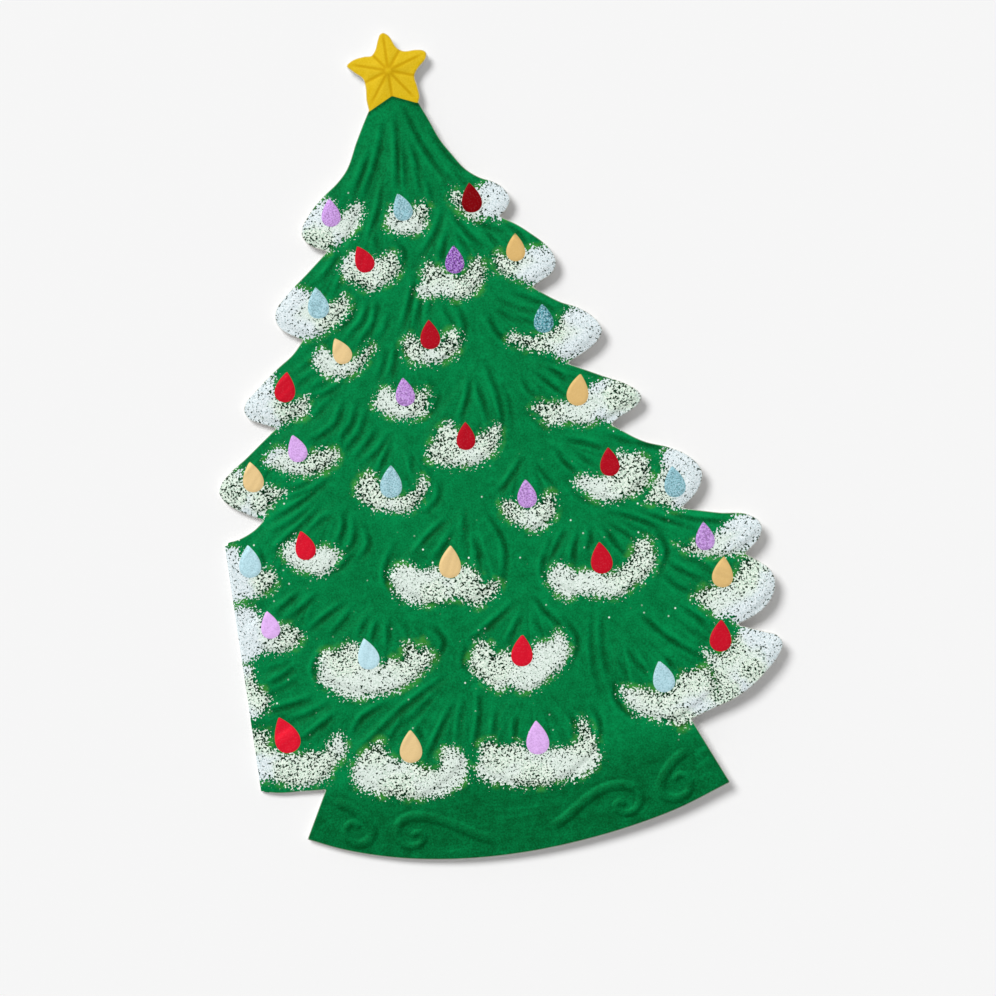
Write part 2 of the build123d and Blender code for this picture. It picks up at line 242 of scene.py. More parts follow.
# Each run of the edge from one notch to the next, starting at the foot of the fold
EDGE_RUNS = [
    [FOLD_FOOT, (3.5, 20.8), (8.5, 20.4), (14.2, 20.0)],
    [(14.2, 20.0), (8.6, 9.75)],
    [(8.6, 9.75), (14.75, 6.9), (25, 3.5), (40, 0.75), (55, 0.0), (70, 0.95), (80, 2.4), (90, 4.6),
     (102.5, 8.8)],
    [(102.5, 8.8), (96.1, 23.8)],
    [(96.1, 23.8), (101.2, 25.4), (106.2, 26.9), (110, 28.8), (113.7, 31.6), (116.9, 34.6),
     (118.4, 37.6), (117.5, 39.3), (115, 40.4), (108.9, 42.9)],
    [(108.9, 42.9), (111.2, 43.6), (114.4, 44.9), (116.9, 46.9), (118.4, 49.4), (118.75, 51.6),
     (118.1, 53.8), (116.2, 55.7), (113.0, 58.1)],
    [(113.0, 58.1), (114.4, 59.1), (116.6, 61.0), (117.6, 63.3), (117.1, 64.9), (115.4, 66.3),
     (108.7, 67.9), (100.6, 70.1)],
    [(100.6, 70.1), (102.5, 71.3), (104.4, 72.9), (105.9, 75.1), (106.4, 77.2), (105.7, 79.1),
     (103.1, 81.9), (100, 83.7), (95, 85.7), (88.1, 90.5)],
    [(88.1, 90.5), (90, 91.7), (93.1, 93.1), (95, 94.4), (95.6, 95.7), (95, 97.0), (93.1, 98.6),
     (87.5, 101.6), (80.5, 105.3)],
    [(80.5, 105.3), (83.1, 106.4), (85.6, 107.6), (88.1, 109.4), (89.2, 111.2), (88.7, 113.1),
     (87.5, 114.8), (85, 116.9), (81.2, 118.8), (75.4, 123.0)],
    [(75.4, 123.0), (77.8, 124.2), (80, 125.3), (81.1, 126.6), (81.4, 128.1), (80.9, 130.0),
     (79.4, 132.2), (76.9, 134.7), (74.4, 136.9), (70.5, 139.5)],
    [(70.5, 139.5), (72.2, 140.7), (73.4, 142.8), (72.5, 145.3), (70.3, 147.2), (67.5, 148.6),
     (64.7, 150.9), (62.2, 154.6), (60, 158.4), (58.5, 162.3), STAR_EDGE[-1]],
    STAR_EDGE[::-1],
    [STAR_EDGE[0], (44.4, 165.0), (41.9, 160.6), (38.2, 153.9), (36, 151.8), (33.5, 150.0),
     (31, 148.0), (28.5, 145.3), (27.2, 143.4), (26.9, 141.6), (27.9, 139.7), (31.9, 137.4)],
    [(31.9, 137.4), (25.4, 132.2), (22.9, 130.3), (20.4, 128.1), (18.8, 126.2), (18.4, 124.4),
     (19.1, 122.2), (21, 120.5), (23.8, 118.9)],
    [(23.8, 118.9), (21, 116.0), (17.6, 113.7), (14.7, 111.6), (11.6, 109.1), (9.4, 107.2),
     (8.6, 105.3), (9.4, 103.4), (11.6, 102.1), (15.1, 100.5)],
    [(15.1, 100.5), (11, 97.5), (7.2, 94.7), (3.5, 92.2), (1.3, 90.0), (0.6, 88.4), (1.2, 86.5),
     (2.9, 84.6), (5.4, 82.9), (9.4, 80.8)],
    [(9.4, 80.8), (7.2, 79.1), (4.1, 77.7), FOLD_TOP],
    [FOLD_TOP, FOLD_FOOT],
]
STRAIGHT_RUNS = (1, 3, 18)
edge_runs = [
    np.array(run, dtype=float) if number in STRAIGHT_RUNS else curve_through(run)
    for number, run in enumerate(EDGE_RUNS)
]
edge_field, edge_foot = loop_field(edge_runs)
print("area inside the die line, mm2:", round(float((edge_field > 0).sum() * GAP * ROW_GAP)))

# %% [markdown]
# Boughs are raised lobes: each starts level with the panel at its root and rises towards its lowest
# point, where it drops off to the bough below. A lobe's outline has four points, and its height
# follows the way from the root. The higher lobe wins where two of them overlap. Fine streaks run out
# from each root. They are three waves over the angle, which never fall in step.

# %% Boughs
BOUGH_RISE = 0.6
BOUGH_FLANK = 1.6
STREAK_TURNS = (29, 47, 71)
STREAK_HEIGHT = 0.05
STREAK_START = (0.05, 0.4)
# Each bough: root, left end, lowest point, right end
BOUGHS = [
    [(47.5, 164.0), (25.5, 141.5), (32.0, 136.5), (41.5, 147.0)],
    [(51.0, 165.0), (45.0, 142.0), (50.5, 137.5), (56.0, 143.5)],
    [(54.5, 164.0), (60.5, 145.0), (67.5, 137.5), (74.0, 142.0)],
    [(46.0, 149.0), (33.8, 133.5), (40.5, 127.0), (48.3, 133.0)],
    [(37.5, 138.5), (17.5, 125.0), (25.5, 118.8), (35.5, 127.0)],
    [(59.8, 143.0), (49.8, 126.5), (58.0, 122.0), (66.3, 128.5)],
    [(64.0, 141.0), (67.0, 129.5), (74.5, 123.5), (82.0, 127.0)],
    [(42.0, 127.0), (25.0, 114.5), (31.0, 109.0), (39.8, 115.5)],
    [(51.0, 128.0), (44.8, 114.0), (51.5, 109.0), (58.8, 114.0)],
    [(62.5, 124.0), (67.8, 112.0), (79.0, 105.5), (89.5, 110.5)],
    [(31.0, 117.0), (8.0, 105.5), (15.0, 101.0), (24.5, 105.5)],
    [(46.5, 116.0), (36.8, 102.5), (44.0, 98.0), (50.5, 103.5)],
    [(67.0, 110.0), (71.0, 97.5), (82.0, 90.8), (96.0, 95.5)],
    [(32.5, 106.0), (11.0, 94.0), (20.0, 89.0), (28.8, 93.5)],
    [(61.0, 110.0), (46.8, 90.5), (55.5, 85.5), (64.8, 92.5)],
    [(18.0, 101.0), (0.0, 88.5), (6.5, 82.0), (16.0, 87.0)],
    [(41.0, 98.0), (29.8, 84.0), (40.0, 77.5), (47.8, 84.5)],
    [(70.5, 91.0), (78.0, 79.5), (86.5, 73.0), (96.0, 80.0)],
    [(88.0, 88.5), (94.5, 75.0), (100.0, 69.8), (107.0, 77.0)],
    [(68.5, 91.0), (60.8, 75.5), (68.0, 69.5), (74.3, 75.5)],
    [(15.0, 84.0), (1.8, 70.0), (6.0, 64.0), (11.5, 68.5)],
    [(27.5, 85.0), (11.8, 72.5), (19.5, 66.5), (25.5, 71.5)],
    [(54.8, 79.0), (34.8, 63.5), (48.0, 55.5), (60.0, 61.0)],
    [(78.5, 74.0), (69.0, 60.0), (82.0, 52.0), (94.8, 61.0)],
    [(88.0, 72.5), (97.5, 62.5), (107.5, 57.8), (118.0, 62.5)],
    [(94.0, 61.5), (99.8, 50.0), (109.0, 42.8), (119.5, 50.5)],
    [(20.0, 68.0), (1.8, 56.0), (7.5, 51.0), (15.5, 55.5)],
    [(33.5, 62.0), (15.8, 46.0), (29.0, 38.8), (44.0, 46.5)],
    [(65.0, 59.0), (49.0, 43.5), (61.0, 34.8), (73.0, 43.0)],
    [(90.0, 55.0), (101.0, 36.5), (109.0, 27.0), (119.0, 36.5)],
    [(83.0, 50.0), (81.0, 31.5), (91.0, 24.0), (103.0, 30.5)],
    [(22.0, 41.0), (1.8, 29.0), (9.5, 20.8), (20.8, 30.5)],
    [(48.0, 43.0), (19.5, 24.5), (33.0, 15.0), (46.5, 22.5)],
    [(62.5, 40.0), (47.0, 21.5), (61.0, 13.5), (77.0, 23.5)],
    [(13.0, 52.0), (0.9, 43.0), (2.5, 37.5), (6.5, 43.0)],
]
relief = np.zeros(grid_u.shape)
streaks = np.zeros(grid_u.shape)
for number, (root, left, lowest, right_end) in enumerate(BOUGHS):
    lobe, _ = loop_field([curve_through([root, left, lowest, right_end, root])])
    reach = np.array(lowest) - np.array(root)
    along = ((grid_u - root[0]) * reach[0] + (grid_v - root[1]) * reach[1]) / (reach @ reach)
    flank = ease(lobe, 0, BOUGH_FLANK)
    rise = BOUGH_RISE * np.clip(along, 0, 1) * flank
    heading = np.arctan2(grid_u - root[0], root[1] - grid_v)
    waves = sum(np.sin(turns * heading + number * (step + 1)) for step, turns in enumerate(STREAK_TURNS))
    waves = waves / len(STREAK_TURNS)
    streaks = np.where(rise > relief, waves * ease(along, *STREAK_START) * flank, streaks)
    relief = np.maximum(relief, rise)
relief += STREAK_HEIGHT * streaks
print("boughs:", len(BOUGHS), "highest, mm:", round(float(relief.max()), 2))

# %% [markdown]
# Needles are pressed lines that fan out over each bough from its root towards the snow. Each is drawn
# by three points and a strength, and it is deepest in its middle and fades at both ends. Pressing
# pushes up a low lip beside the line, and the lip towards the light shows. The lines are also
# printed darker with painted shade on top of the print, and the lips get a painted highlight, so
# that they read in soft light too.

# %% Needle lines
NEEDLE_STEP = 0.6
NEEDLE_WIDTH = 0.58
NEEDLE_DEPTH = 0.36
NEEDLE_REACH = 2.4
NEEDLE_END = 0.04
NEEDLE_FADE = 0.8
LIP_AWAY = 1.15
LIP_WIDTH = 0.55
LIP_HEIGHT = 0.22
LIT_SIDE = (-0.6, 0.8)
TINY = 0.01
# Each line: start, middle, end, strength
NEEDLES = [
    [(44.2, 157.0), (42.2, 153.2), (39.6, 149.0), 0.9],
    [(48.6, 163.6), (46.2, 156.6), (41.8, 147.4), 0.9],
    [(46.3, 155.0), (44.8, 151.2), (43.0, 147.8), 0.4],
    [(46.3, 150.0), (44.2, 143.8), (41.6, 139.2), 0.9],
    [(51.2, 164.8), (50.6, 157.0), (49.3, 148.4), 0.9],
    [(52.0, 159.0), (51.6, 153.0), (50.9, 147.4), 0.7],
    [(53.2, 166.6), (55.6, 158.6), (60.4, 148.2), 0.8],
    [(54.0, 158.0), (54.4, 152.6), (54.3, 147.0), 0.7],
    [(58.4, 160.0), (61.2, 154.4), (65.0, 150.0), 0.9],
    [(57.2, 155.0), (59.2, 151.2), (61.8, 148.0), 0.6],
    [(56.4, 148.6), (56.6, 146.2), (56.5, 144.0), 0.4],
    [(58.9, 143.2), (56.9, 138.8), (52.6, 133.2), 0.8],
    [(59.2, 138.0), (57.6, 134.6), (56.2, 131.0), 0.9],
    [(60.4, 141.6), (63.2, 136.6), (66.4, 133.0), 0.9],
    [(60.8, 137.0), (62.2, 133.6), (63.2, 130.8), 0.6],
    [(61.6, 142.6), (66.0, 138.4), (72.2, 135.4), 0.8],
    [(66.8, 137.4), (68.4, 134.6), (69.6, 132.6), 0.5],
    [(71.4, 137.8), (74.2, 135.0), (76.0, 132.4), 0.8],
    [(35.6, 137.4), (32.4, 133.8), (29.8, 130.6), 0.6],
    [(34.8, 132.0), (33.6, 129.6), (32.2, 127.8), 0.5],
    [(47.4, 138.2), (48.8, 133.6), (46.2, 129.2), 0.8],
    [(43.2, 139.6), (43.0, 137.4), (42.8, 135.6), 0.5],
    [(36.6, 125.6), (35.2, 122.2), (31.6, 119.8), 1.0],
    [(39.4, 125.2), (38.0, 121.4), (34.4, 118.0), 1.0],
    [(41.4, 124.8), (40.2, 120.6), (36.0, 115.8), 1.0],
    [(43.8, 122.0), (42.2, 118.5), (39.8, 115.6), 0.6],
    [(50.4, 129.0), (48.2, 122.8), (45.6, 117.4), 1.0],
    [(51.6, 126.0), (50.2, 121.6), (48.8, 117.6), 0.8],
    [(53.2, 124.0), (52.6, 121.6), (52.2, 119.6), 0.6],
    [(57.8, 123.4), (59.6, 117.0), (57.8, 111.0), 0.8],
    [(55.2, 122.4), (56.4, 119.2), (57.4, 117.0), 0.5],
    [(67.4, 121.6), (71.6, 118.8), (75.8, 117.2), 0.5],
    [(66.0, 120.0), (70.0, 116.8), (74.2, 115.0), 0.45],
    [(64.8, 118.8), (66.6, 113.8), (70.4, 110.0), 0.9],
    [(70.8, 122.2), (75.6, 119.8), (80.0, 116.8), 0.7],
    [(20.4, 111.4), (23.4, 112.8), (27.0, 115.2), 0.5],
    [(20.6, 108.9), (24.4, 110.7), (28.4, 111.0), 0.4],
    [(24.4, 105.6), (27.8, 106.4), (31.4, 108.2), 0.7],
    [(23.0, 107.2), (26.8, 108.6), (30.4, 109.8), 0.35],
    [(22.4, 96.4), (28.0, 99.0), (31.0, 104.2), 1.0],
    [(28.2, 95.4), (31.8, 98.8), (33.8, 103.6), 0.8],
    [(29.2, 92.8), (33.2, 96.6), (35.8, 101.4), 0.8],
    [(31.6, 91.4), (34.8, 94.2), (37.4, 97.2), 0.7],
    [(32.8, 89.4), (36.6, 92.0), (39.8, 95.4), 0.9],
    [(19.4, 98.6), (24.2, 101.6), (28.6, 105.6), 0.5],
    [(15.2, 86.2), (19.0, 87.0), (22.6, 88.6), 0.6],
    [(11.0, 90.2), (13.0, 91.4), (15.4, 92.0), 0.5],
    [(10.6, 80.0), (18.0, 83.3), (25.4, 87.8), 1.0],
    [(14.6, 84.4), (19.6, 85.4), (24.6, 87.4), 0.6],
    [(11.2, 77.8), (16.0, 79.6), (20.8, 82.6), 0.7],
    [(10.0, 73.2), (15.4, 76.8), (22.0, 81.6), 1.0],
    [(19.6, 76.8), (21.8, 78.4), (24.4, 80.0), 0.6],
    [(24.6, 72.8), (26.8, 76.4), (27.4, 80.4), 0.9],
    [(25.4, 70.2), (28.6, 73.4), (29.4, 78.0), 0.9],
    [(21.4, 66.6), (25.6, 68.4), (28.0, 70.8), 0.8],
    [(28.8, 68.8), (31.7, 72.0), (31.6, 76.4), 0.8],
    [(7.6, 75.2), (8.0, 73.0), (8.2, 70.8), 0.7],
    [(9.4, 60.2), (12.0, 61.8), (14.8, 63.6), 0.9],
    [(11.6, 58.0), (15.0, 60.2), (18.6, 62.6), 0.8],
    [(15.4, 54.8), (19.6, 57.4), (24.6, 60.0), 1.0],
    [(20.2, 53.2), (23.4, 55.8), (26.4, 58.8), 0.7],
    [(41.2, 107.2), (43.0, 110.6), (44.2, 114.4), 0.9],
    [(39.0, 107.8), (40.8, 111.2), (41.8, 114.0), 0.5],
    [(50.6, 106.4), (50.6, 102.4), (48.4, 98.8), 0.5],
    [(47.4, 97.4), (50.4, 99.8), (52.4, 104.0), 0.8],
    [(55.8, 96.6), (57.8, 100.6), (59.2, 105.6), 0.9],
    [(60.4, 104.6), (61.0, 100.0), (61.6, 95.2), 0.9],
    [(62.8, 108.2), (64.8, 99.0), (64.4, 90.8), 0.8],
    [(65.4, 104.0), (66.8, 98.0), (66.4, 92.0), 0.4],
    [(35.4, 86.8), (37.4, 89.4), (39.8, 93.6), 0.8],
    [(43.9, 91.0), (43.7, 88.4), (43.2, 86.2), 0.6],
    [(49.2, 83.4), (48.4, 80.0), (45.2, 77.0), 0.8],
    [(49.6, 75.0), (45.2, 72.0), (40.8, 68.0), 1.0],
    [(50.4, 72.0), (47.8, 69.0), (45.2, 66.2), 0.9],
    [(53.8, 77.4), (53.0, 72.4), (52.2, 67.4), 0.6],
    [(54.6, 70.6), (55.2, 66.8), (54.8, 63.2), 0.8],
    [(58.2, 75.6), (61.2, 67.6), (59.6, 58.4), 0.9],
    [(37.4, 71.4), (34.2, 64.6), (36.8, 58.2), 0.9],
    [(70.4, 103.8), (71.2, 101.0), (73.2, 98.6), 0.7],
    [(73.4, 104.0), (76.4, 101.0), (78.6, 98.8), 0.7],
    [(76.4, 104.6), (78.4, 103.0), (80.0, 101.2), 0.9],
    [(70.2, 96.0), (73.0, 92.4), (77.6, 90.4), 0.5],
    [(75.2, 87.0), (77.0, 83.6), (79.2, 81.2), 0.9],
    [(79.2, 85.8), (81.4, 83.6), (83.8, 81.8), 0.6],
    [(77.8, 88.4), (81.8, 87.2), (85.6, 85.4), 0.9],
    [(86.4, 88.6), (90.4, 86.6), (94.4, 84.8), 0.6],
    [(91.8, 86.2), (95.8, 84.8), (99.4, 83.0), 0.9],
    [(76.0, 81.0), (78.2, 76.4), (84.4, 72.2), 0.5],
    [(67.6, 85.6), (64.8, 82.2), (61.4, 79.0), 0.9],
    [(70.2, 84.6), (72.0, 81.6), (73.8, 79.2), 0.6],
    [(70.0, 83.0), (70.7, 80.8), (71.0, 78.8), 0.5],
    [(74.8, 68.8), (72.4, 65.6), (70.2, 62.8), 0.9],
    [(77.7, 68.0), (76.1, 64.4), (75.3, 61.0), 0.9],
    [(80.5, 68.6), (80.0, 66.4), (79.2, 63.4), 0.8],
    [(83.2, 68.6), (84.8, 65.2), (87.0, 61.8), 0.9],
    [(84.4, 68.8), (87.2, 66.8), (89.8, 64.2), 0.6],
    [(72.0, 67.8), (68.6, 60.6), (70.4, 55.0), 0.7],
    [(94.4, 67.0), (96.3, 61.2), (93.4, 55.6), 0.9],
    [(84.4, 71.6), (90.6, 69.0), (96.8, 65.4), 0.8],
    [(91.8, 70.6), (97.0, 68.0), (102.8, 65.6), 0.9],
    [(96.6, 70.0), (101.8, 67.6), (109.8, 65.6), 0.9],
    [(86.2, 69.8), (90.8, 66.6), (95.4, 63.2), 0.5],
    [(95.8, 58.8), (98.6, 56.4), (102.4, 54.0), 0.8],
    [(98.8, 59.4), (102.4, 57.8), (105.4, 55.6), 0.8],
    [(94.4, 56.2), (97.0, 53.4), (100.4, 51.0), 0.7],
    [(88.4, 48.0), (93.8, 42.0), (101.6, 35.9), 1.0],
    [(97.6, 48.2), (101.0, 45.0), (103.2, 42.0), 0.9],
    [(95.4, 46.8), (98.6, 43.4), (102.2, 39.8), 0.5],
    [(92.2, 38.4), (93.2, 36.8), (93.8, 35.0), 0.7],
    [(84.4, 41.0), (86.0, 37.8), (88.2, 35.0), 0.7],
    [(82.2, 39.0), (83.0, 36.4), (83.8, 34.6), 0.4],
    [(80.8, 36.0), (80.4, 30.4), (84.6, 25.0), 0.9],
    [(61.6, 54.6), (56.6, 51.3), (50.6, 47.6), 1.0],
    [(62.4, 51.4), (60.4, 48.6), (58.2, 45.8), 0.8],
    [(66.0, 55.2), (68.0, 51.6), (71.0, 48.0), 1.0],
    [(65.2, 51.0), (66.0, 48.8), (67.0, 46.8), 0.5],
    [(71.6, 50.0), (74.0, 44.8), (71.8, 39.0), 0.8],
    [(49.8, 47.0), (48.4, 43.4), (49.4, 40.0), 0.5],
    [(78.2, 51.0), (76.7, 42.0), (77.2, 31.0), 0.5],
    [(80.2, 50.6), (79.2, 41.6), (80.0, 31.0), 0.5],
    [(54.0, 31.6), (53.3, 28.8), (52.4, 25.8), 0.9],
    [(58.2, 30.2), (57.6, 27.4), (57.2, 24.8), 0.8],
    [(64.8, 31.4), (65.0, 28.6), (64.8, 26.6), 0.4],
    [(70.0, 29.4), (70.5, 26.2), (69.8, 23.0), 0.6],
    [(75.0, 30.0), (76.2, 25.6), (75.2, 20.8), 0.9],
    [(51.2, 36.6), (49.8, 29.2), (47.4, 22.8), 0.9],
    [(19.4, 51.4), (15.7, 46.6), (16.8, 42.0), 0.9],
    [(29.4, 56.4), (27.8, 54.4), (26.2, 52.2), 0.7],
    [(31.2, 55.2), (30.3, 53.2), (29.2, 51.0), 0.9],
    [(33.7, 54.6), (33.1, 51.8), (32.8, 48.8), 0.9],
    [(36.9, 54.6), (37.2, 52.8), (37.4, 50.8), 0.4],
    [(42.8, 52.4), (44.9, 48.6), (42.6, 44.2), 0.9],
    [(4.8, 44.6), (8.4, 45.8), (11.8, 47.8), 0.8],
    [(4.4, 47.6), (7.8, 48.2), (11.4, 49.2), 0.4],
    [(5.8, 42.6), (9.0, 43.8), (12.4, 45.2), 0.5],
    [(4.6, 38.8), (9.2, 39.4), (14.4, 40.2), 0.9],
    [(8.6, 36.0), (13.0, 36.8), (18.0, 38.6), 0.7],
    [(10.4, 31.2), (14.2, 33.3), (19.0, 36.0), 1.0],
    [(21.8, 30.8), (24.4, 34.0), (30.2, 36.7), 1.0],
    [(24.4, 28.4), (32.4, 34.2), (44.2, 40.8), 1.0],
    [(29.8, 28.2), (31.8, 30.8), (33.8, 32.8), 0.6],
    [(33.4, 31.4), (37.8, 34.4), (42.2, 38.2), 0.6],
    [(36.2, 30.4), (36.8, 28.8), (37.0, 27.0), 0.8],
    [(37.6, 23.8), (41.0, 28.8), (45.2, 34.8), 0.9],
    [(44.8, 25.4), (45.8, 30.2), (47.4, 35.4), 0.6],
    [(21.2, 29.0), (19.6, 26.4), (19.4, 23.6), 0.5],
]


def lit_offset(light, area, foot):
    """How far grid points lie towards the light from the nearest spots on a path."""
    return light[0] * (grid_u[area] - foot[0]) + light[1] * (grid_v[area] - foot[1])


needle = np.zeros(grid_u.shape)
lip = np.zeros(grid_u.shape)
for start, middle, end, strength in NEEDLES:
    area, gap, share, foot = near_path(curve_through([start, middle, end], NEEDLE_STEP), NEEDLE_REACH)
    inner_share = NEEDLE_END + (1 - 2 * NEEDLE_END) * share
    fade = strength * np.sin(math.pi * inner_share) ** NEEDLE_FADE
    needle[area] = np.maximum(needle[area], fade * bell(gap, NEEDLE_WIDTH))
    lit_share = 0.5 + 0.5 * lit_offset(LIT_SIDE, area, foot) / (gap + TINY)
    lip[area] = np.maximum(lip[area], fade * lit_share * bell(gap - LIP_AWAY, LIP_WIDTH))
lip *= 1 - needle
relief += LIP_HEIGHT * lip - NEEDLE_DEPTH * needle
print("needle lines:", len(NEEDLES))

# %% [markdown]
# The foot has four scrolls. They are raised cords with a round top, a little thinner towards the curl.
# A path gives each of them, and the distance to it gives the height. The side towards the light gets
# a painted highlight and the other side painted shade, so that a low cord reads as round. A few short,
# pale lines lie between the scrolls, and they are only printed.

# %% Scrolls on the foot
SCROLL_STEP = 0.5
SCROLL_REACH = 3.0
SCROLL_HALF = 1.15
SCROLL_TAPER = 0.35
SCROLL_THINS = (0.5, 1.0)
SCROLL_STARTS = (0, 0.12)
SCROLL_SOFT_EDGE = (-0.35, 0.15)
SCROLL_PROUD = 0.34
SCROLL_LIGHT = (-0.3, 0.95)
SCROLL_HIGHLIGHT_TONE = 0.48
SCROLL_SHADE_TONE = 0.3
# The path of each scroll, from its tail to its curl
SCROLLS = [
    [(15.0, 17.2), (17.6, 16.2), (19.6, 14.8), (21.3, 13.1), (22.7, 11.2), (23.1, 9.3), (22.2, 7.7),
     (20.3, 7.0), (18.2, 7.8), (17.2, 9.6), (17.6, 11.3), (18.9, 11.9), (20.1, 11.3)],
    [(51.0, 3.0), (48.5, 4.0), (46.3, 5.1), (44.0, 6.4), (41.7, 7.8), (39.3, 9.2), (36.7, 10.3),
     (34.3, 11.1), (32.0, 11.4), (30.0, 10.9), (28.7, 9.6), (28.3, 7.8), (29.0, 6.0), (30.6, 5.0),
     (32.4, 4.9), (33.8, 5.9), (33.9, 7.2), (33.0, 7.8), (32.1, 7.5)],
    [(61.0, 4.2), (63.5, 5.2), (66.0, 6.6), (68.3, 8.1), (70.5, 9.5), (72.8, 10.7), (75.3, 11.5),
     (77.8, 11.7), (80.0, 11.3), (81.8, 10.2), (82.5, 8.6), (82.0, 6.9), (80.5, 5.6), (78.6, 5.4),
     (77.1, 6.3), (76.9, 7.5), (77.7, 8.1), (78.5, 7.7)],
    [(95.0, 17.4), (92.6, 16.3), (90.5, 14.9), (88.9, 13.2), (87.6, 11.2), (87.2, 9.6), (87.8, 8.0),
     (89.6, 7.1), (91.6, 7.2), (93.3, 8.2), (93.8, 10.0), (93.0, 11.6), (91.7, 12.1), (90.8, 11.4)],
]
FOOT_LINE_HALF = 0.35
FOOT_LINE_TONE = 0.22
FOOT_LINE_REACH = 1.5
# Each printed line: start, middle, end
FOOT_LINES = [
    [(49.5, 10.0), (55.5, 9.8), (62.0, 10.0)], [(49.5, 8.7), (55.5, 8.3), (61.0, 8.8)],
    [(37.5, 2.8), (41.0, 2.7), (44.5, 2.7)], [(94.5, 10.4), (97.5, 11.3), (100.0, 12.4)],
    [(95.0, 13.0), (97.5, 14.2), (99.5, 15.2)], [(95.5, 15.8), (97.0, 16.8), (98.5, 17.4)],
]
scroll = np.zeros(grid_u.shape)
scroll_lit_side = np.zeros(grid_u.shape)
for path_points in SCROLLS:
    area, gap, share, foot = near_path(curve_through(path_points, SCROLL_STEP), SCROLL_REACH)
    half = SCROLL_HALF * (1 - SCROLL_TAPER * ease(share, *SCROLL_THINS))
    fade = ease(share, *SCROLL_STARTS)
    lit_share = np.clip(lit_offset(SCROLL_LIGHT, area, foot) / half, -1, 1)
    scroll[area] += fade * np.clip(1 - (gap / half) ** 2, 0, 1)
    scroll_lit_side[area] += fade * ease(half - gap, *SCROLL_SOFT_EDGE) * lit_share
# Painted highlight on each cord's side towards the light, painted shade on its other side; the printed
# foot lines are added below
scroll_light_and_foot_lines = np.where(scroll_lit_side > 0, SCROLL_HIGHLIGHT_TONE * scroll_lit_side**2, SCROLL_SHADE_TONE * scroll_lit_side)
for path_points in FOOT_LINES:
    area, gap, share, _ = near_path(curve_through(path_points), FOOT_LINE_REACH)
    scroll_light_and_foot_lines[area] += FOOT_LINE_TONE * np.sin(math.pi * share) * bell(gap, FOOT_LINE_HALF)
relief += SCROLL_PROUD * scroll
print("scrolls:", len(SCROLLS), "printed lines:", len(FOOT_LINES))

# %% [markdown]
# The star is a low pyramid with ten flutes: a crease runs from its middle to each tip and each notch.
# Its height falls evenly from the middle to its edge, so it only needs each point's share of that way.
# For that share a plain star of straight lines is near enough to the soft edge. The star's colour
# reaches a little past the die line, so that no green is left at the edge, and below it ends at a
# roof, where the green rises into it.

# %% Star
STAR_CENTRE = np.array([51.0, 174.8])
STAR_TIP = 9.8
STAR_NOTCH = 5.5
STAR_ROOF = (51.0, 169.2)
STAR_SPARE = 1.06
STAR_PROUD = 0.7
CREASE_DEPTH = 0.16
CREASE_WIDTH = 0.45
CREASE_RISES = (0.05, 0.3)
CREASE_FALLS = (0.75, 1.0)
TIP_TO_TIP = 72
TIP_TO_NOTCH = 36


def off_nearest(angle, spacing):
    """How far angles lie from the nearest multiple of a spacing."""
    return np.abs((angle + spacing / 2) % spacing - spacing / 2)


star_rim = STAR_CENTRE + STAR_SPARE * (curve_through(STAR_EDGE) - STAR_CENTRE)
star_field, _ = loop_field([star_rim, np.array([star_rim[-1], STAR_ROOF, star_rim[0]])])
from_centre = np.hypot(grid_u - STAR_CENTRE[0], grid_v - STAR_CENTRE[1])
bearing = np.degrees(np.arctan2(grid_u - STAR_CENTRE[0], grid_v - STAR_CENTRE[1]))
off_tip = np.radians(off_nearest(bearing, TIP_TO_TIP))
notch_in = STAR_NOTCH * math.cos(math.radians(TIP_TO_NOTCH)) - STAR_TIP
notch_side = STAR_NOTCH * math.sin(math.radians(TIP_TO_NOTCH))
edge_radius = notch_side * STAR_TIP / (notch_side * np.cos(off_tip) - notch_in * np.sin(off_tip))
way_out = np.clip(from_centre / edge_radius, 0, 1)
beside_crease = from_centre * np.sin(np.radians(off_nearest(bearing, TIP_TO_NOTCH)))
crease = ease(way_out, *CREASE_RISES) * (1 - ease(way_out, *CREASE_FALLS))
crease *= bell(beside_crease, CREASE_WIDTH)
star_height = STAR_PROUD * (1 - way_out) - CREASE_DEPTH * crease
relief = np.where(star_field > 0, star_height, relief)
print("star, highest, mm:", round(float(star_height.max()), 2))

# %% [markdown]
# The lamps are drops of foil, pointed above and round below, and pressed a little proud of the
# bough. One formula gives the drop: its half width follows sin(t) times sin(t / 2). The grid keeps
# the distance to the nearest drop's edge, which draws a clean edge between its points too, and the
# colour of that drop's foil, painted lighter or darker by how the light falls on that drop. The fourth
# part of that colour is how strong the painted glints on the foil are.

# %% Drop lamps
DROP_PROUD = 0.15
DROP_BEVEL = 0.3
DROP_WIDTH_SHARE = 0.67
DROP_POINTS = 49
FULLEST = 4 / math.sqrt(27)
RED, BLUE, LILAC, GOLD = range(4)
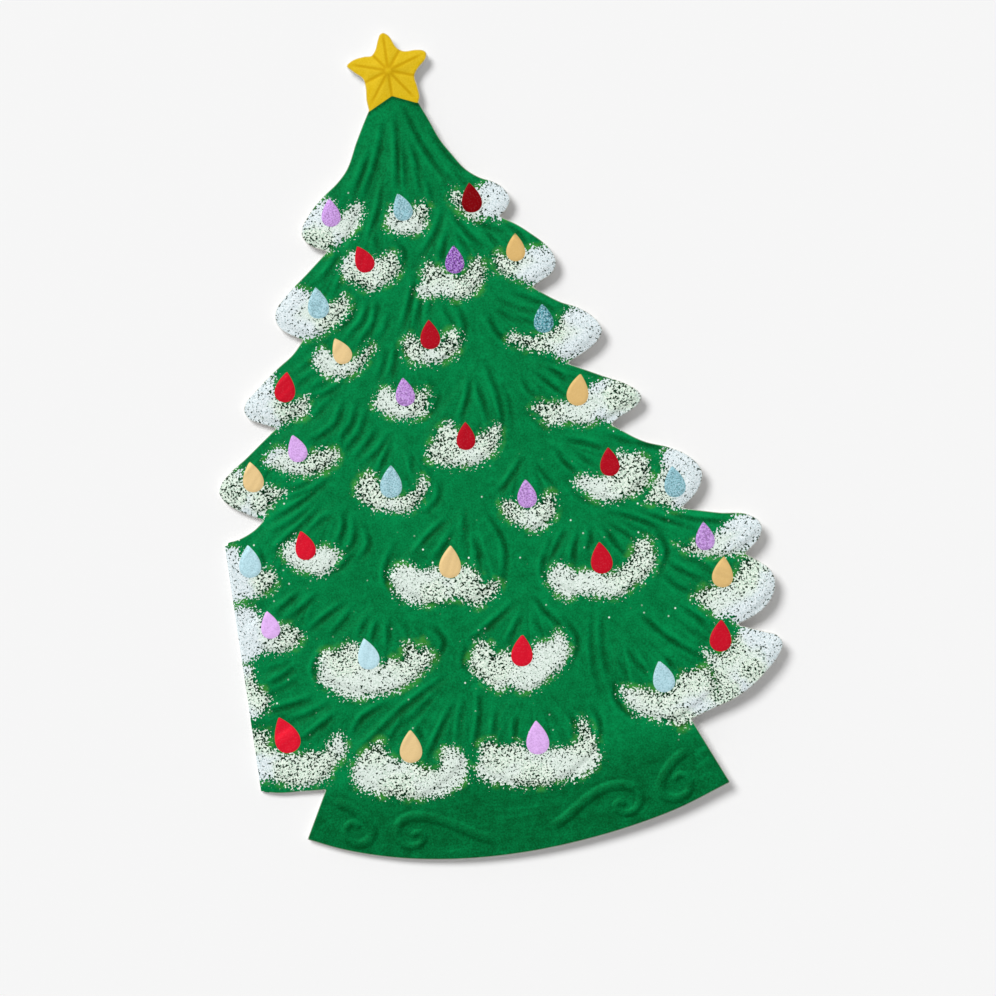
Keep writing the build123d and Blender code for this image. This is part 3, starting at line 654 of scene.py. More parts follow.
# Each drop: tip, base, foil, how much painted light its foil shows
DROPS = [
    [(34.0, 148.9), (33.8, 142.6), LILAC, 0.6], [(49.1, 147.8), (50.1, 141.6), BLUE, 0.45],
    [(65.0, 147.8), (65.0, 141.1), RED, 0.0], [(38.6, 137.6), (40.4, 131.6), RED, 0.65],
    [(28.2, 130.0), (28.2, 123.0), BLUE, 0.65], [(59.6, 134.7), (59.1, 128.4), LILAC, 0.0],
    [(73.4, 135.3), (72.7, 129.1), GOLD, 0.0], [(30.7, 118.25), (32.6, 112.4), GOLD, 1.0],
    [(51.8, 119.25), (51.4, 112.7), RED, 0.4], [(77.0, 119.1), (76.6, 112.6), BLUE, 0.0],
    [(19.25, 112.5), (17.6, 105.9), RED, 0.75], [(44.3, 107.5), (44.25, 101.1), LILAC, 0.45],
    [(83.1, 102.6), (81.1, 95.75), GOLD, 0.15], [(18.4, 98.6), (19.4, 92.4), LILAC, 0.85],
    [(56.5, 95.8), (55.8, 89.6), RED, 0.45], [(8.2, 94.1), (8.5, 87.25), GOLD, 0.9],
    [(38.9, 88.8), (37.9, 81.6), BLUE, 0.6], [(86.7, 85.7), (86.4, 79.3), RED, 0.4],
    [(100.0, 79.6), (100.0, 72.6), BLUE, 0.4], [(67.7, 81.4), (67.4, 75.0), LILAC, 0.5],
    [(5.1, 76.0), (4.9, 68.7), BLUE, 0.9], [(17.1, 77.4), (17.9, 70.8), RED, 0.9],
    [(49.3, 69.4), (48.1, 62.25), GOLD, 0.8], [(81.75, 65.4), (81.6, 58.3), RED, 0.65],
    [(105.0, 66.4), (104.7, 60.1), LILAC, 0.5], [(108.4, 58.2), (106.9, 51.5), GOLD, 0.2],
    [(7.1, 61.0), (7.6, 54.75), LILAC, 1.0], [(27.4, 51.9), (28.1, 44.9), BLUE, 1.0],
    [(62.1, 47.7), (60.9, 40.7), RED, 0.9], [(105.8, 44.6), (104.5, 37.6), RED, 0.7],
    [(90.9, 37.6), (91.6, 30.5), BLUE, 0.8], [(6.3, 37.4), (8.2, 29.3), RED, 1.0],
    [(34.6, 30.5), (33.8, 23.2), GOLD, 0.95], [(62.25, 28.5), (61.8, 21.0), LILAC, 0.95],
]


def paint(red, green, blue):
    """A colour as a printer names it, in parts of 255, as light."""
    parts = [part / 255 for part in (red, green, blue)]
    light = [part / 12.92 if part <= 0.04045 else ((part + 0.055) / 1.055) ** 2.4 for part in parts]
    return (*light, 1.0)


# Each foil: painted as it shows in its most shaded and in its best lit drop
SHADED_AND_LIT_FOILS = {
    RED: (paint(134, 2, 10), paint(232, 24, 50)),
    BLUE: (paint(108, 180, 192), paint(198, 236, 246)),
    LILAC: (paint(168, 112, 210), paint(238, 190, 255)),
    GOLD: (paint(227, 188, 118), paint(240, 208, 150)),
}
FOIL_LIGHT = 0.93
PLAIN_FOILS = (RED, GOLD)
PLAIN_FOIL_GLINT = 0.03
LEAST_FOIL_GLINT = 0.12
DULL_FOIL_GLINT = 0.58


def drop_loop(tip, base):
    """The outline of a drop."""
    tip = np.array(tip)
    axis = np.array(base) - tip
    length = np.linalg.norm(axis)
    axis /= length
    across = np.array([-axis[1], axis[0]])
    turns = np.linspace(0, 2 * math.pi, DROP_POINTS)[:, None]
    half_width = DROP_WIDTH_SHARE * length / 2 * np.sin(turns) * np.sin(turns / 2) / FULLEST
    return tip + length / 2 * (1 - np.cos(turns)) * axis + half_width * across


drop = np.full(grid_u.shape, -FIELD_REACH)
foil = np.zeros((*grid_u.shape, 4))
drop_foot = np.stack([grid_u, grid_v])
for tip, base, colour, painted_light_share in DROPS:
    field, foot = loop_field([drop_loop(tip, base)])
    nearest = field > drop
    drop = np.where(nearest, field, drop)
    drop_foot = np.where(nearest, foot, drop_foot)
    dark, light = (np.array(shown) for shown in SHADED_AND_LIT_FOILS[colour])
    # Each drop's foil is painted between its shaded and its lit colour, by how the light falls on that
    # drop
    foil[nearest] = FOIL_LIGHT * (dark + painted_light_share * (light - dark))
    glint_amount = PLAIN_FOIL_GLINT if colour in PLAIN_FOILS else LEAST_FOIL_GLINT + DULL_FOIL_GLINT * (1 - painted_light_share)
    foil[nearest, 3] = glint_amount
relief += DROP_PROUD * ease(drop, 0, DROP_BEVEL)
print("drops:", len(DROPS))

# %% [markdown]
# Snow is white ink, dabbed on the ends of the boughs and ragged at its edge. Each patch is a closed
# outline, and the grid keeps the distance to the nearest one. The finish breaks it up into dabs. The
# upper side of a patch is looser than its lower side, and in some places the dabs lie apart, so that
# dark shows between them.

# %% Snow patches
SNOW_REACH = 9.0
UPPER_DEPTH = 4.0
UPPER_LOSS = 0.5
SNOW_PAINTED_SHADE = 0.04
SNOW_SHADE_REACH = (-5, -1)
# The outline of each patch
SNOW = [
    [(33.5, 149.5), (29.5, 147.5), (25.5, 143), (25.5, 140), (31.5, 136.8), (34.5, 138.7),
     (38, 140.3), (40.2, 143), (40.6, 147.4), (38.2, 146.8), (36.3, 145.5)],
    [(45.4, 141.5), (47, 139.4), (50, 138.4), (53, 138.7), (55, 141.5), (55.6, 144.2),
     (54.4, 145.5), (52.3, 144.6), (50, 143), (48, 144.5), (47.4, 145.7), (46.4, 144)],
    [(60.3, 144.8), (61.4, 147.2), (63.5, 146), (66.5, 147), (70.5, 148.2), (75, 145), (74.5, 141),
     (70.8, 138.8), (68, 139.5), (65.5, 139.2), (63, 140.6), (61.5, 142.5)],
    [(34.3, 133.2), (36, 136.2), (38, 136.6), (41, 135), (43.5, 134.9), (46, 135.6), (47.4, 133.6),
     (47.2, 130.8), (45, 128.8), (42.5, 128), (40, 127.2), (37.3, 129), (34.9, 130.6)],
    [(25.5, 130.3), (22.5, 131.5), (17.5, 127.5), (16.5, 123.5), (20.5, 119), (24, 119),
     (28, 119.6), (32, 121.2), (34.5, 123.4), (35.2, 126.4), (34, 127.8), (31.5, 126.6), (29, 128)],
    [(52.1, 130.8), (53.6, 132.5), (55.4, 131.6), (57.5, 129.5), (60, 128.5), (62.5, 130.8),
     (64.4, 132.2), (65.6, 130.2), (65.6, 126.6), (64.3, 124.5), (61, 122.7), (57.6, 122.9),
     (55.4, 124.2), (51.6, 124.1), (50.1, 126.4), (51.6, 128.4)],
    [(67.7, 130.5), (69.4, 132.3), (71.2, 131), (73, 130.4), (75, 131.7), (79, 132), (83, 130),
     (83, 126.5), (79, 123.8), (75.6, 123.2), (73.4, 124.7), (70.8, 125.7), (68.6, 127.2)],
    [(25.3, 114.2), (27.4, 116.8), (29.3, 115.8), (32, 113.4), (34.8, 114), (36.6, 115.3),
     (38.8, 116.3), (39.2, 115), (37.5, 112.6), (35.2, 110.6), (32, 109.4), (28.6, 110),
     (26.1, 111.8)],
    [(45.1, 115), (46.9, 117.2), (49, 115.8), (51.5, 113.5), (54.2, 115.3), (56.2, 116.9),
     (58.4, 114.6), (57.5, 111.5), (54.5, 109.8), (50.5, 109.6), (46.7, 110.7), (45, 112.6)],
    [(68.2, 112.8), (69.5, 114.3), (72, 113.3), (74.6, 112.8), (77, 113.2), (79, 114.2),
     (80.5, 116), (83, 117.6), (87, 117), (91, 112), (89.5, 108.5), (84, 106), (80, 106),
     (77.4, 108), (74, 108.6), (71, 110)],
    [(16.4, 112.6), (12, 110.8), (7.2, 107), (7, 104), (10.5, 101), (15, 100.6), (19, 101.6),
     (22.3, 102.2), (23.2, 104.5), (22.9, 107), (20.6, 106.6), (18, 106.4), (16, 109)],
    [(37, 102.2), (38, 104.7), (40.3, 106.2), (42, 104.8), (44.2, 102.5), (46.6, 104.4),
     (48.8, 104.8), (49.5, 101.6), (48.5, 99.1), (44, 98.3), (40.2, 99.4), (38.5, 101)],
    [(71.3, 97), (72.6, 98.2), (76, 97.8), (78.8, 97.6), (81.5, 97), (84, 99.4), (85.6, 100.4),
     (88.5, 101.2), (93, 100), (97.5, 96), (95, 93), (88.3, 90.6), (86, 91.7), (82, 91.3),
     (78.5, 92.5), (75, 92), (73, 94)],
    [(11.5, 93.8), (13, 95.8), (15.5, 96.7), (17.4, 95), (19.6, 93), (21.8, 94.6), (25, 95),
     (27.8, 94.2), (27.8, 92), (25.5, 89.8), (21, 89), (17, 90), (14, 91.5)],
    [(47, 91), (49, 93.5), (51, 96), (53, 96.8), (54.6, 94.4), (56, 92), (58.5, 92.8), (61, 94),
     (63.5, 94.7), (64, 92), (62, 88.2), (58, 86.3), (53, 86.2), (49.5, 87.2), (47.2, 88.6)],
    [(6.2, 93), (2.5, 92.8), (-1, 89.5), (-0.5, 86.5), (3, 83.2), (7, 81.2), (9.4, 82),
     (12.5, 84.2), (15.6, 86.7), (13, 88.2), (10.8, 89), (8.5, 88.5), (6.6, 90.5)],
    [(30.2, 85), (31.3, 87), (34, 88.6), (35.7, 86.6), (37.8, 82.6), (40.5, 82.4), (43, 83.4),
     (45.6, 85.8), (46.3, 83.5), (45, 80.5), (41.5, 78), (37.5, 78.5), (33, 80), (30.5, 82.5)],
    [(78.2, 79.3), (80.5, 81), (83, 80), (86.2, 80.5), (88, 83), (88.6, 85), (91, 84), (93.2, 84),
     (95, 82), (95.4, 79), (94.6, 76), (93, 74.5), (90, 74.3), (86, 73.7), (82.5, 74.5),
     (80.3, 76.7)],
    [(95.8, 77.4), (97.4, 79.4), (98.2, 82.5), (99.5, 84.2), (104.5, 82.6), (108, 77.5), (105, 72),
     (100.8, 69.8), (96, 71.2), (93, 72.8), (94.5, 75.5)],
    [(61.3, 75.5), (62, 78), (64, 78), (65.4, 76.8), (67.6, 75.4), (69.5, 76.5), (71, 77.4),
     (73, 78.3), (73.8, 75), (72.5, 71.6), (69.5, 70), (67.5, 70.2), (65, 71.5), (62.5, 73.1)],
    [(-1.5, 76), (2.6, 76), (3.4, 73), (5, 70), (7.6, 70.8), (10.1, 69.5), (10.2, 66.6), (8, 65),
     (3.5, 64.3), (-1.5, 64)],
    [(12.3, 73), (14.4, 75.9), (15.8, 76.1), (17.6, 72.6), (20, 73.4), (22.5, 73.5), (24.8, 71.5),
     (23.5, 68.8), (20, 67), (17.5, 68), (14, 69.8)],
    [(35.2, 65), (37, 67.2), (39.5, 66.8), (41, 66), (43.5, 65.2), (45.5, 65.6), (48.2, 63),
     (50.8, 65), (53.5, 64.3), (55, 62.3), (55.6, 60.4), (57.5, 60.9), (59, 60), (58.3, 57.6),
     (55.5, 55.9), (53, 55), (51, 56.2), (49, 57.4), (45, 56.9), (40, 57.5), (36.8, 59.5)],
    [(69.4, 58.5), (70.5, 61.5), (72, 62.3), (74.5, 61), (75.4, 60), (78.3, 60.2), (81.5, 59),
     (84, 59), (85.8, 60), (88, 62), (89.6, 64.8), (92.4, 65.2), (93.5, 62), (93.3, 58.5), (91, 56),
     (88, 54.5), (84, 52.8), (80, 53.5), (76, 54.3), (72.5, 54), (70.3, 56.5)],
    [(98.2, 63.3), (100, 62), (102.5, 63), (104.6, 61.5), (107, 64), (108.6, 64.8), (111, 66.4),
     (115.5, 67.3), (119, 63.5), (116, 59), (113, 58), (109, 58.2), (105, 58.8), (101.5, 59.5),
     (99.3, 61.3)],
    [(100.3, 50.3), (102.5, 52.5), (105, 53), (107.2, 52.2), (109.3, 53.6), (110.5, 55),
     (112.6, 57.6), (117.5, 56.5), (120.5, 51), (117.5, 45.5), (109, 43), (107.5, 45), (105.5, 45),
     (103.5, 47), (101.3, 48.8)],
    [(-1.5, 62.8), (2, 63), (4.5, 62), (6, 59.5), (7.6, 56), (10, 58), (12, 57.5), (14.5, 55.8),
     (13.5, 53), (9.5, 51.3), (5, 51.8), (2, 50.6), (-1.5, 50.4)],
    [(16.3, 44), (16.8, 48), (18, 50.8), (21, 50.8), (24, 52), (25.8, 51.5), (27.6, 46.5), (30, 46),
     (32.5, 47.3), (34.8, 46.8), (36, 50), (38, 50), (39.3, 48.2), (40.4, 50), (41.2, 48),
     (42.5, 45.8), (40.5, 43.3), (37, 41), (34, 39.6), (28.5, 39), (22.5, 39.3), (18.5, 41.8)],
    [(49.3, 43), (50.5, 46), (53, 48.4), (55, 47), (55.8, 44.9), (57.8, 45.2), (61, 43),
     (63.5, 43.6), (64.6, 45.8), (68, 46), (69.8, 47.7), (71.5, 45.5), (72, 43), (70, 39.5),
     (66.5, 37.5), (63.5, 35.6), (60, 35.2), (57.5, 36.8), (55, 36.1), (52.5, 38), (50, 40.5)],
    [(101.5, 38.8), (103, 38), (105.5, 38.5), (107.3, 40), (109.2, 41.9), (112, 42.8), (117, 41),
     (120, 38), (117.5, 33), (112, 28.5), (105, 25.5), (96.5, 23.6), (101.5, 28), (102, 32)],
    [(82, 33.3), (84.5, 33), (87.5, 32.5), (90.8, 31.5), (93.5, 32.8), (95.5, 34.8), (98, 35.3),
     (101.6, 35), (103, 31), (102.5, 26), (98, 23.8), (95.8, 22.8), (93.5, 22), (91.2, 23.5),
     (88, 25), (85, 26.3), (83, 28.5)],
    [(-1.5, 36.4), (2.5, 35.6), (4, 34.8), (3.6, 32.4), (5.5, 30.4), (8.2, 29.6), (10.6, 29.4),
     (12, 29.9), (15, 29), (16.5, 30.8), (18.7, 32), (20.2, 30), (19.8, 27.5), (17, 24.5),
     (15.8, 22.8), (11, 21.3), (6.5, 21.8), (3, 23.6), (-1.5, 24.6)],
    [(20.5, 23), (22, 26.3), (25, 28.5), (28, 29.7), (28.8, 27), (30.2, 25.2), (33.8, 24),
     (36.5, 22.8), (39.4, 21.7), (40, 24.5), (41.3, 26.2), (44, 25.4), (46, 21.5), (45, 17.7),
     (41, 15.5), (35, 15), (29.5, 15.8), (25, 17.5), (21.5, 19.5)],
    [(47.3, 20), (48.5, 22), (49.4, 25.6), (52, 26.1), (54, 24.8), (57, 24.9), (61.8, 22),
     (64.6, 22.5), (68, 22.3), (70.4, 23.2), (71, 26.8), (72.3, 28.2), (74, 26), (75, 22),
     (74.8, 17.6), (72, 15.3), (66, 14.5), (60, 13.8), (55, 15), (51, 16), (48.5, 17.5)],
    [(-1.5, 50.6), (2.4, 49.6), (2.7, 46.6), (4.5, 44), (5.4, 41.6), (4.4, 39.5), (2, 38.1),
     (-1.5, 37.6)],
]
snow = np.full(grid_u.shape, -SNOW_REACH)
for outline in SNOW:
    field, _ = loop_field([closed_curve(outline)], SNOW_REACH)
    snow = np.maximum(snow, field)
slope_v = np.gradient(snow, ROW_GAP, axis=0)
upper_side = np.clip(-slope_v, 0, 1) * (1 - ease(snow, 0, UPPER_DEPTH))
# Painted shade on the green just above each snow patch, and painted light just below it
shade = SNOW_PAINTED_SHADE * np.clip(slope_v, -1, 1) * ease(snow, *SNOW_SHADE_REACH)
snow -= UPPER_LOSS * upper_side
# Where the dabs lie apart: u, v, radius
THIN_SNOW = [
    (30, 140, 3.5), (55, 143, 3), (63, 143.5, 3.5), (38, 130, 3.5), (45, 131.5, 3),
    (30.5, 124.5, 4), (55, 130, 3.5), (62.5, 128, 5.5), (69.5, 129, 3.5), (36.5, 113.5, 3),
    (47, 114, 3), (56, 113, 3), (73, 111, 4.5), (78.5, 113.5, 3), (19.5, 104, 4), (47, 102, 3),
    (74, 96.5, 4), (91, 96.5, 4), (24, 91.5, 4.5), (50.5, 91, 4.5), (61, 91.5, 3.5), (11, 86, 4),
    (33, 84, 4.5), (43, 81.5, 4), (91.5, 79, 5), (96, 72, 3), (63, 75.5, 3.5), (72, 75, 3.5),
    (8, 67, 3), (54.5, 60, 6), (88, 60, 6), (100.5, 62, 3.5), (112, 54.5, 4.5), (103, 51.5, 3),
    (12, 55, 4), (3.5, 44, 4.5), (22.5, 48.5, 4), (37, 47, 5.5), (53.5, 43, 6), (106.5, 38, 3.5),
    (102, 32, 3), (104, 28.5, 3.5), (91, 33, 6), (97.5, 33.5, 4), (94, 23.5, 3.5), (2.5, 33.5, 4),
    (13, 26, 5), (26, 27.5, 4), (37, 24, 4.5), (30, 17.5, 4), (53.5, 24, 5), (71.5, 24, 5),
    (60, 15.5, 4), (3.5, 88, 4), (7, 24.5, 4), (111, 33, 3), (44, 59, 3),
]
thin = np.zeros(grid_u.shape)
for spot_u, spot_v, radius in THIN_SNOW:
    thin = np.maximum(thin, bell(np.hypot(grid_u - spot_u, grid_v - spot_v), radius))
print("snow patches:", len(SNOW), "thin places:", len(THIN_SNOW))

# %% [markdown]
# The green is painted lighter where a bough turns to the light, and painted darker in the hollows where
# shade falls. A picture painted by hand could say where, but a few soft places, each with a radius and
# a change of tone, are enough for that.

# %% Painted light and shade in the green
# Each place: u, v, radius, change of tone
PAINTED_LIGHT_PLACES = [
    (57.5, 164, 4, -0.12), (45, 163, 5, 0.06), (61, 137, 4, 0.08), (75, 136, 4, 0.08),
    (39, 120, 4, 0.12), (30, 119, 3.5, -0.08), (55, 119, 4.5, 0.07), (82, 116, 4, -0.08),
    (24, 108, 7, 0.07), (62, 105, 4, 0.08), (84, 102, 4, -0.08), (68, 98, 4, -0.06),
    (40, 95, 6, 0.04), (17, 88, 5, 0.06), (90, 88, 4, 0.05), (82, 84, 5, 0.06), (12, 82, 8, 0.1),
    (38, 79, 5, 0.07), (8, 71, 4, 0.08), (103, 67, 8, 0.07), (35, 62, 4, -0.07),
    (106, 52, 6, -0.07), (45, 44, 8, -0.05), (98, 43, 5, 0.05), (78, 38, 8, -0.07),
    (5, 36, 5, -0.1), (30, 32, 10, -0.06), (60, 30, 10, -0.04), (77, 22, 5, 0.12),
    (17, 21, 6, 0.08),
]
for spot_u, spot_v, radius, change in PAINTED_LIGHT_PLACES:
    shade += change * bell(np.hypot(grid_u - spot_u, grid_v - spot_v), radius)
print("tone, lowest and highest change:", round(float(shade.min()), 2), round(float(shade.max()), 2))

# %% [markdown]
# Now the sheet itself. Triangles of the grid that lie inside the die line make the front face. Its
# border is then pulled onto the die line, and points near a drop's edge are pulled onto that edge, so
# that both are drawn clean. Cutting the grid with a knife tool would do it too, but it would leave
# thin slivers that catch the light.

# %% Front face
KEEP = 0.4 * GAP
DROP_PULL = 0.3 * GAP
FOLD_FADE = (0.7, 3.0)
EDGE_SHARE = 0.3
EDGE_FADE = 2.5

relief *= ease(grid_u, *FOLD_FADE) * (EDGE_SHARE + (1 - EDGE_SHARE) * ease(edge_field, 0, EDGE_FADE))
pulled = np.abs(drop) < DROP_PULL
point_u = np.where(pulled, drop_foot[0], grid_u).ravel()
point_v = np.where(pulled, drop_foot[1], grid_v).ravel()
drop = np.where(pulled, 0, drop)
point_number = np.arange(grid_u.size).reshape(grid_u.shape)
triangles = []
for row in range(ROWS - 1):
    here, beyond = point_number[row], point_number[row + 1]
    if row % 2 == 0:
        triangles.append(np.stack([here[:-1], here[1:], beyond[:-1]], axis=-1))
        triangles.append(np.stack([here[1:], beyond[1:], beyond[:-1]], axis=-1))
    else:
        triangles.append(np.stack([here[:-1], here[1:], beyond[1:]], axis=-1))
        triangles.append(np.stack([here[:-1], beyond[1:], beyond[:-1]], axis=-1))
triangles = np.concatenate(triangles)
triangles = triangles[(edge_field.ravel()[triangles] > -KEEP).all(axis=1)]


def border_of(corners):
    """The border's edges, each from a point to the next, with the face on its left."""
    edges = np.concatenate([corners[:, [0, 1]], corners[:, [1, 2]], corners[:, [2, 0]]])
    keys = edges[:, 0] * grid_u.size + edges[:, 1]
    opposite = edges[:, 1] * grid_u.size + edges[:, 0]
    return edges[~np.isin(keys, opposite)]


border_edges = border_of(triangles)
follower = dict(border_edges.tolist())
border = [int(border_edges[0, 0])]
while follower[border[-1]] != border[0]:
    border.append(follower[border[-1]])
border = np.array(border)
point_u[border] = edge_foot[0].ravel()[border]
point_v[border] = edge_foot[1].ravel()[border]
edge_field.ravel()[border] = 0
print("front triangles:", len(triangles), "border points:", len(border), "of", len(border_edges))

# %% [markdown]
# The front panel leans up a little from the fold, as card does that was folded once and springs back.
# Its points get their height here, and the border is turned so that it starts with the fold. The
# sheet is then gathered as lists of points and faces, and each point remembers the grid point that it
# came from, so that it can carry the same values.

# %% Front panel in place
SHEET = 0.4
FOLD_SPARE = 0.05
PRINT, PAPER = 0, 1
lean_sine, lean_cosine = math.sin(OPEN_ANGLE), math.cos(OPEN_ANGLE)
lift = BEND_RADIUS * (1 + lean_cosine) - FOLD_U * lean_sine / lean_cosine

used, faces_front = np.unique(triangles, return_inverse=True)
faces_front = faces_front.reshape(-1, 3)
new_number = {int(old): new for new, old in enumerate(used)}
loop = np.array([new_number[int(old)] for old in border])
used_u, used_v = point_u[used], point_v[used]
height = lift + used_u * lean_sine / lean_cosine
raised = relief.ravel()[used]
front = np.stack([used_u - raised * lean_sine, used_v, height + raised * lean_cosine], axis=-1)
on_fold = np.abs(used_u[loop] - FOLD_U) < TINY
on_fold &= (used_v[loop] > FOLD_FOOT[1] - FOLD_SPARE) & (used_v[loop] < FOLD_TOP[1] + FOLD_SPARE)
first = int(np.nonzero(on_fold & ~np.roll(on_fold, 1))[0][0])
loop = np.roll(loop, -first)
fold_count = int(on_fold.sum())
total = len(loop)

points = [front]
faces = [faces_front.tolist()]
kinds = [np.full(len(faces_front), PRINT)]
source = [used]


def add_points(block, origin):
    """Adds points to the sheet and says which numbers they got."""
    start = sum(len(group) for group in points)
    points.append(block)
    source.append(origin)
    return start + np.arange(len(block))


def add_faces(rows, kind):
    """Adds faces of one finish."""
    faces.append([list(map(int, row)) for row in rows])
    kinds.append(np.full(len(rows), kind))


def strip(upper, lower):
    """Faces between two rows of points, seen from the side on the right of the way along them."""
    return np.stack([upper[:-1], lower[:-1], lower[1:], upper[1:]], axis=-1)


print("fold points:", fold_count, "border points:", total)

# %% [markdown]
# The rest of the sheet closes it: the cut edge hangs below the border, two plain faces make the inside,
# one makes the back, and a half ring of short strips goes round at the fold. A Solidify modifier
# would give the thickness too, but it would press the boughs through to the inside.

# %% Cut edge, inside, back and bend
BEND_STEPS = 12
INNER_RADIUS = BEND_RADIUS - SHEET
origin = used[loop]
level = np.stack([used_u, used_v, height], axis=-1)[loop]
inner_front = add_points(level + SHEET * np.array([lean_sine, 0, -lean_cosine]), origin)
back_level = np.stack([used_u[loop], used_v[loop], np.zeros(total)], axis=-1)
back_level[:fold_count, 0] = BEND_RADIUS
inner_back = add_points(back_level + [0, 0, SHEET], origin)
outer_back = add_points(back_level, origin)
around = np.arange(fold_count - 1, total + 1) % total
add_faces(strip(loop[around], inner_front[around]), PAPER)
add_faces(strip(inner_back[around], outer_back[around]), PAPER)
add_faces([inner_front[::-1]], PAPER)
add_faces([inner_back], PAPER)
add_faces([outer_back[::-1]], PAPER)

outer_rows, inner_rows = [loop[:fold_count]], [inner_front[:fold_count]]
for step in range(1, BEND_STEPS):
    angle = math.pi / 2 + OPEN_ANGLE + (math.pi - OPEN_ANGLE) * step / BEND_STEPS
    for rows, radius in ((outer_rows, BEND_RADIUS), (inner_rows, INNER_RADIUS)):
        ring = front[loop[:fold_count]]
        ring[:, 0] = BEND_RADIUS + radius * math.cos(angle)
        ring[:, 2] = BEND_RADIUS + radius * math.sin(angle)
        rows.append(add_points(ring, origin[:fold_count]))
outer_rows.append(outer_back[:fold_count])
inner_rows.append(inner_back[:fold_count])
for step in range(BEND_STEPS):
    kind = PRINT if step < BEND_STEPS / 2 else PAPER
    add_faces(strip(outer_rows[step], outer_rows[step + 1]), kind)
    add_faces(strip(inner_rows[step + 1], inner_rows[step]), PAPER)
    quad = [outer_rows[step], inner_rows[step], inner_rows[step + 1], outer_rows[step + 1]]
    add_faces([[row[0] for row in quad]], PAPER)
    add_faces([[row[-1] for row in quad[::-1]]], PAPER)
print("faces of the sheet:", sum(len(group) for group in faces))

# %% [markdown]
# The mesh is made from those lists at once, which is much faster than adding faces one by one. Each
# point also carries what is printed there, with painted light and shade, as named attributes: how deep
# it lies in the snow, the star, a drop and the card, how light its green is, and its foil. Shaders read
# attributes between points too, so an edge drawn by a distance stays smooth.

# %% Card mesh
MIDDLE_TONE = 0.5
LIP_HIGHLIGHT_TONE = 0.32
NEEDLE_PRINT_AND_SHADE_TONE = 0.44
STREAK_TONE = 0.12
FOOT_TONE = 0.2
FOOT_TOP = (16, 24)
# Painted shadow of the raised star: a dark line on the green round its edge
STAR_SHADOW_TONE = 0.4
STAR_SHADOW_AWAY = 0.25
STAR_SHADOW_WIDTH = 0.35
FOLD_EDGE = (0.8, 1.8)
FOLD_EDGE_DEPTH = 2
foot_shade = 1 - ease(grid_v, *FOOT_TOP)
# The green's tone: its print, with painted light and shade added in
green_ink_and_painted_light = MIDDLE_TONE + shade + scroll_light_and_foot_lines
# Painted highlight on the lips towards the light, and painted shade on top of the printed needle lines
green_ink_and_painted_light += LIP_HIGHLIGHT_TONE * lip - NEEDLE_PRINT_AND_SHADE_TONE * needle + STREAK_TONE * streaks
green_ink_and_painted_light -= FOOT_TONE * foot_shade + STAR_SHADOW_TONE * bell(star_field + STAR_SHADOW_AWAY, STAR_SHADOW_WIDTH)
fold_depth = FOLD_EDGE_DEPTH * (1 - ease(grid_u, *FOLD_EDGE))
points = np.concatenate(points)
source = np.concatenate(source)
kinds = np.concatenate(kinds)
corners = [face for group in faces for face in group]
card_mesh = bpy.data.meshes.new("printed_card")
card_mesh.from_pydata(placed(points[:, 0], points[:, 1], points[:, 2]).tolist(), [], corners)
card_mesh.polygons.foreach_set("material_index", kinds.astype(np.int32))
smooth = np.zeros(len(kinds), dtype=bool)
smooth[: len(faces_front)] = True
card_mesh.polygons.foreach_set("use_smooth", smooth)
for name, values in (
    ("snow_depth", snow),
    ("snow_thin", thin),
    ("green_ink_and_painted_light", green_ink_and_painted_light),
    ("drop_depth", drop),
    ("star_depth", star_field),
    ("foot_share", foot_shade),
    ("edge_depth", edge_field + fold_depth),
):
    carried = card_mesh.attributes.new(name, "FLOAT", "POINT")
    carried.data.foreach_set("value", values.ravel()[source].astype(np.float32))
foil_colour = card_mesh.attributes.new("foil_colour", "FLOAT_COLOR", "POINT")
foil_colour.data.foreach_set("color", foil.reshape(-1, 4)[source].astype(np.float32).ravel())
card = bpy.data.objects.new("printed_card", card_mesh)
bpy.context.collection.objects.link(card)
changed = card_mesh.validate(verbose=False)
card_mesh.update()
print("card: points", len(points), "faces", len(card_mesh.polygons), "mended", changed)

# %% [markdown]
# Finishes are written as sums. A small class wraps a socket, so that a sum of sockets and numbers
# adds its Math nodes by itself, and one method makes every other kind of node.

# %% Sums of sockets


class Wire:
    """A value in a finish, which can be used in sums with numbers and other values."""

    def __init__(self, finish, socket):
        self.finish = finish
        self.socket = socket

    def math(self, operation, first, second=0.0):
        """A Math node on two values."""
        return self.finish.node("ShaderNodeMath", {"operation": operation}, {0: first, 1: second})

    def __add__(self, other):
        return self.math("ADD", self, other)

    def __sub__(self, other):
        return self.math("SUBTRACT", self, other)

    def __mul__(self, other):
        return self.math("MULTIPLY", self, other)

    __radd__ = __add__
    __rmul__ = __mul__

    def __rsub__(self, other):
        return self.math("SUBTRACT", other, self)

    def length_with(self, other):
        """The length of an arrow whose two parts are this value and another one."""
        return self.math("SQRT", self * self + other * other)

    def off_ray(self, other, rays):
        """How far a place, given by its two parts, is from the nearest of some even rays."""
        turn = self.math("ARCTAN2", self, other) * (rays / 2)
        return self.length_with(other) * self.math("ABSOLUTE", self.math("SINE", turn)) * (2 / rays)

    def step(self, low, high):
        """A smooth step from 0 at low to 1 at high."""
        settings = {"interpolation_type": "SMOOTHSTEP"}
        return self.finish.node("ShaderNodeMapRange", settings, {0: self, 1: low, 2: high, 3: 0.0, 4: 1.0})


print("sums ready:", [name for name in vars(Wire) if not name.startswith("__")])

# %% [markdown]
# A finish is a material with an empty node tree, and a few methods for the kinds of node that the card
# needs more than once. Noise and places are read in the card's own coordinates, so the print lies
# still on the sheet.

# %% Finishes


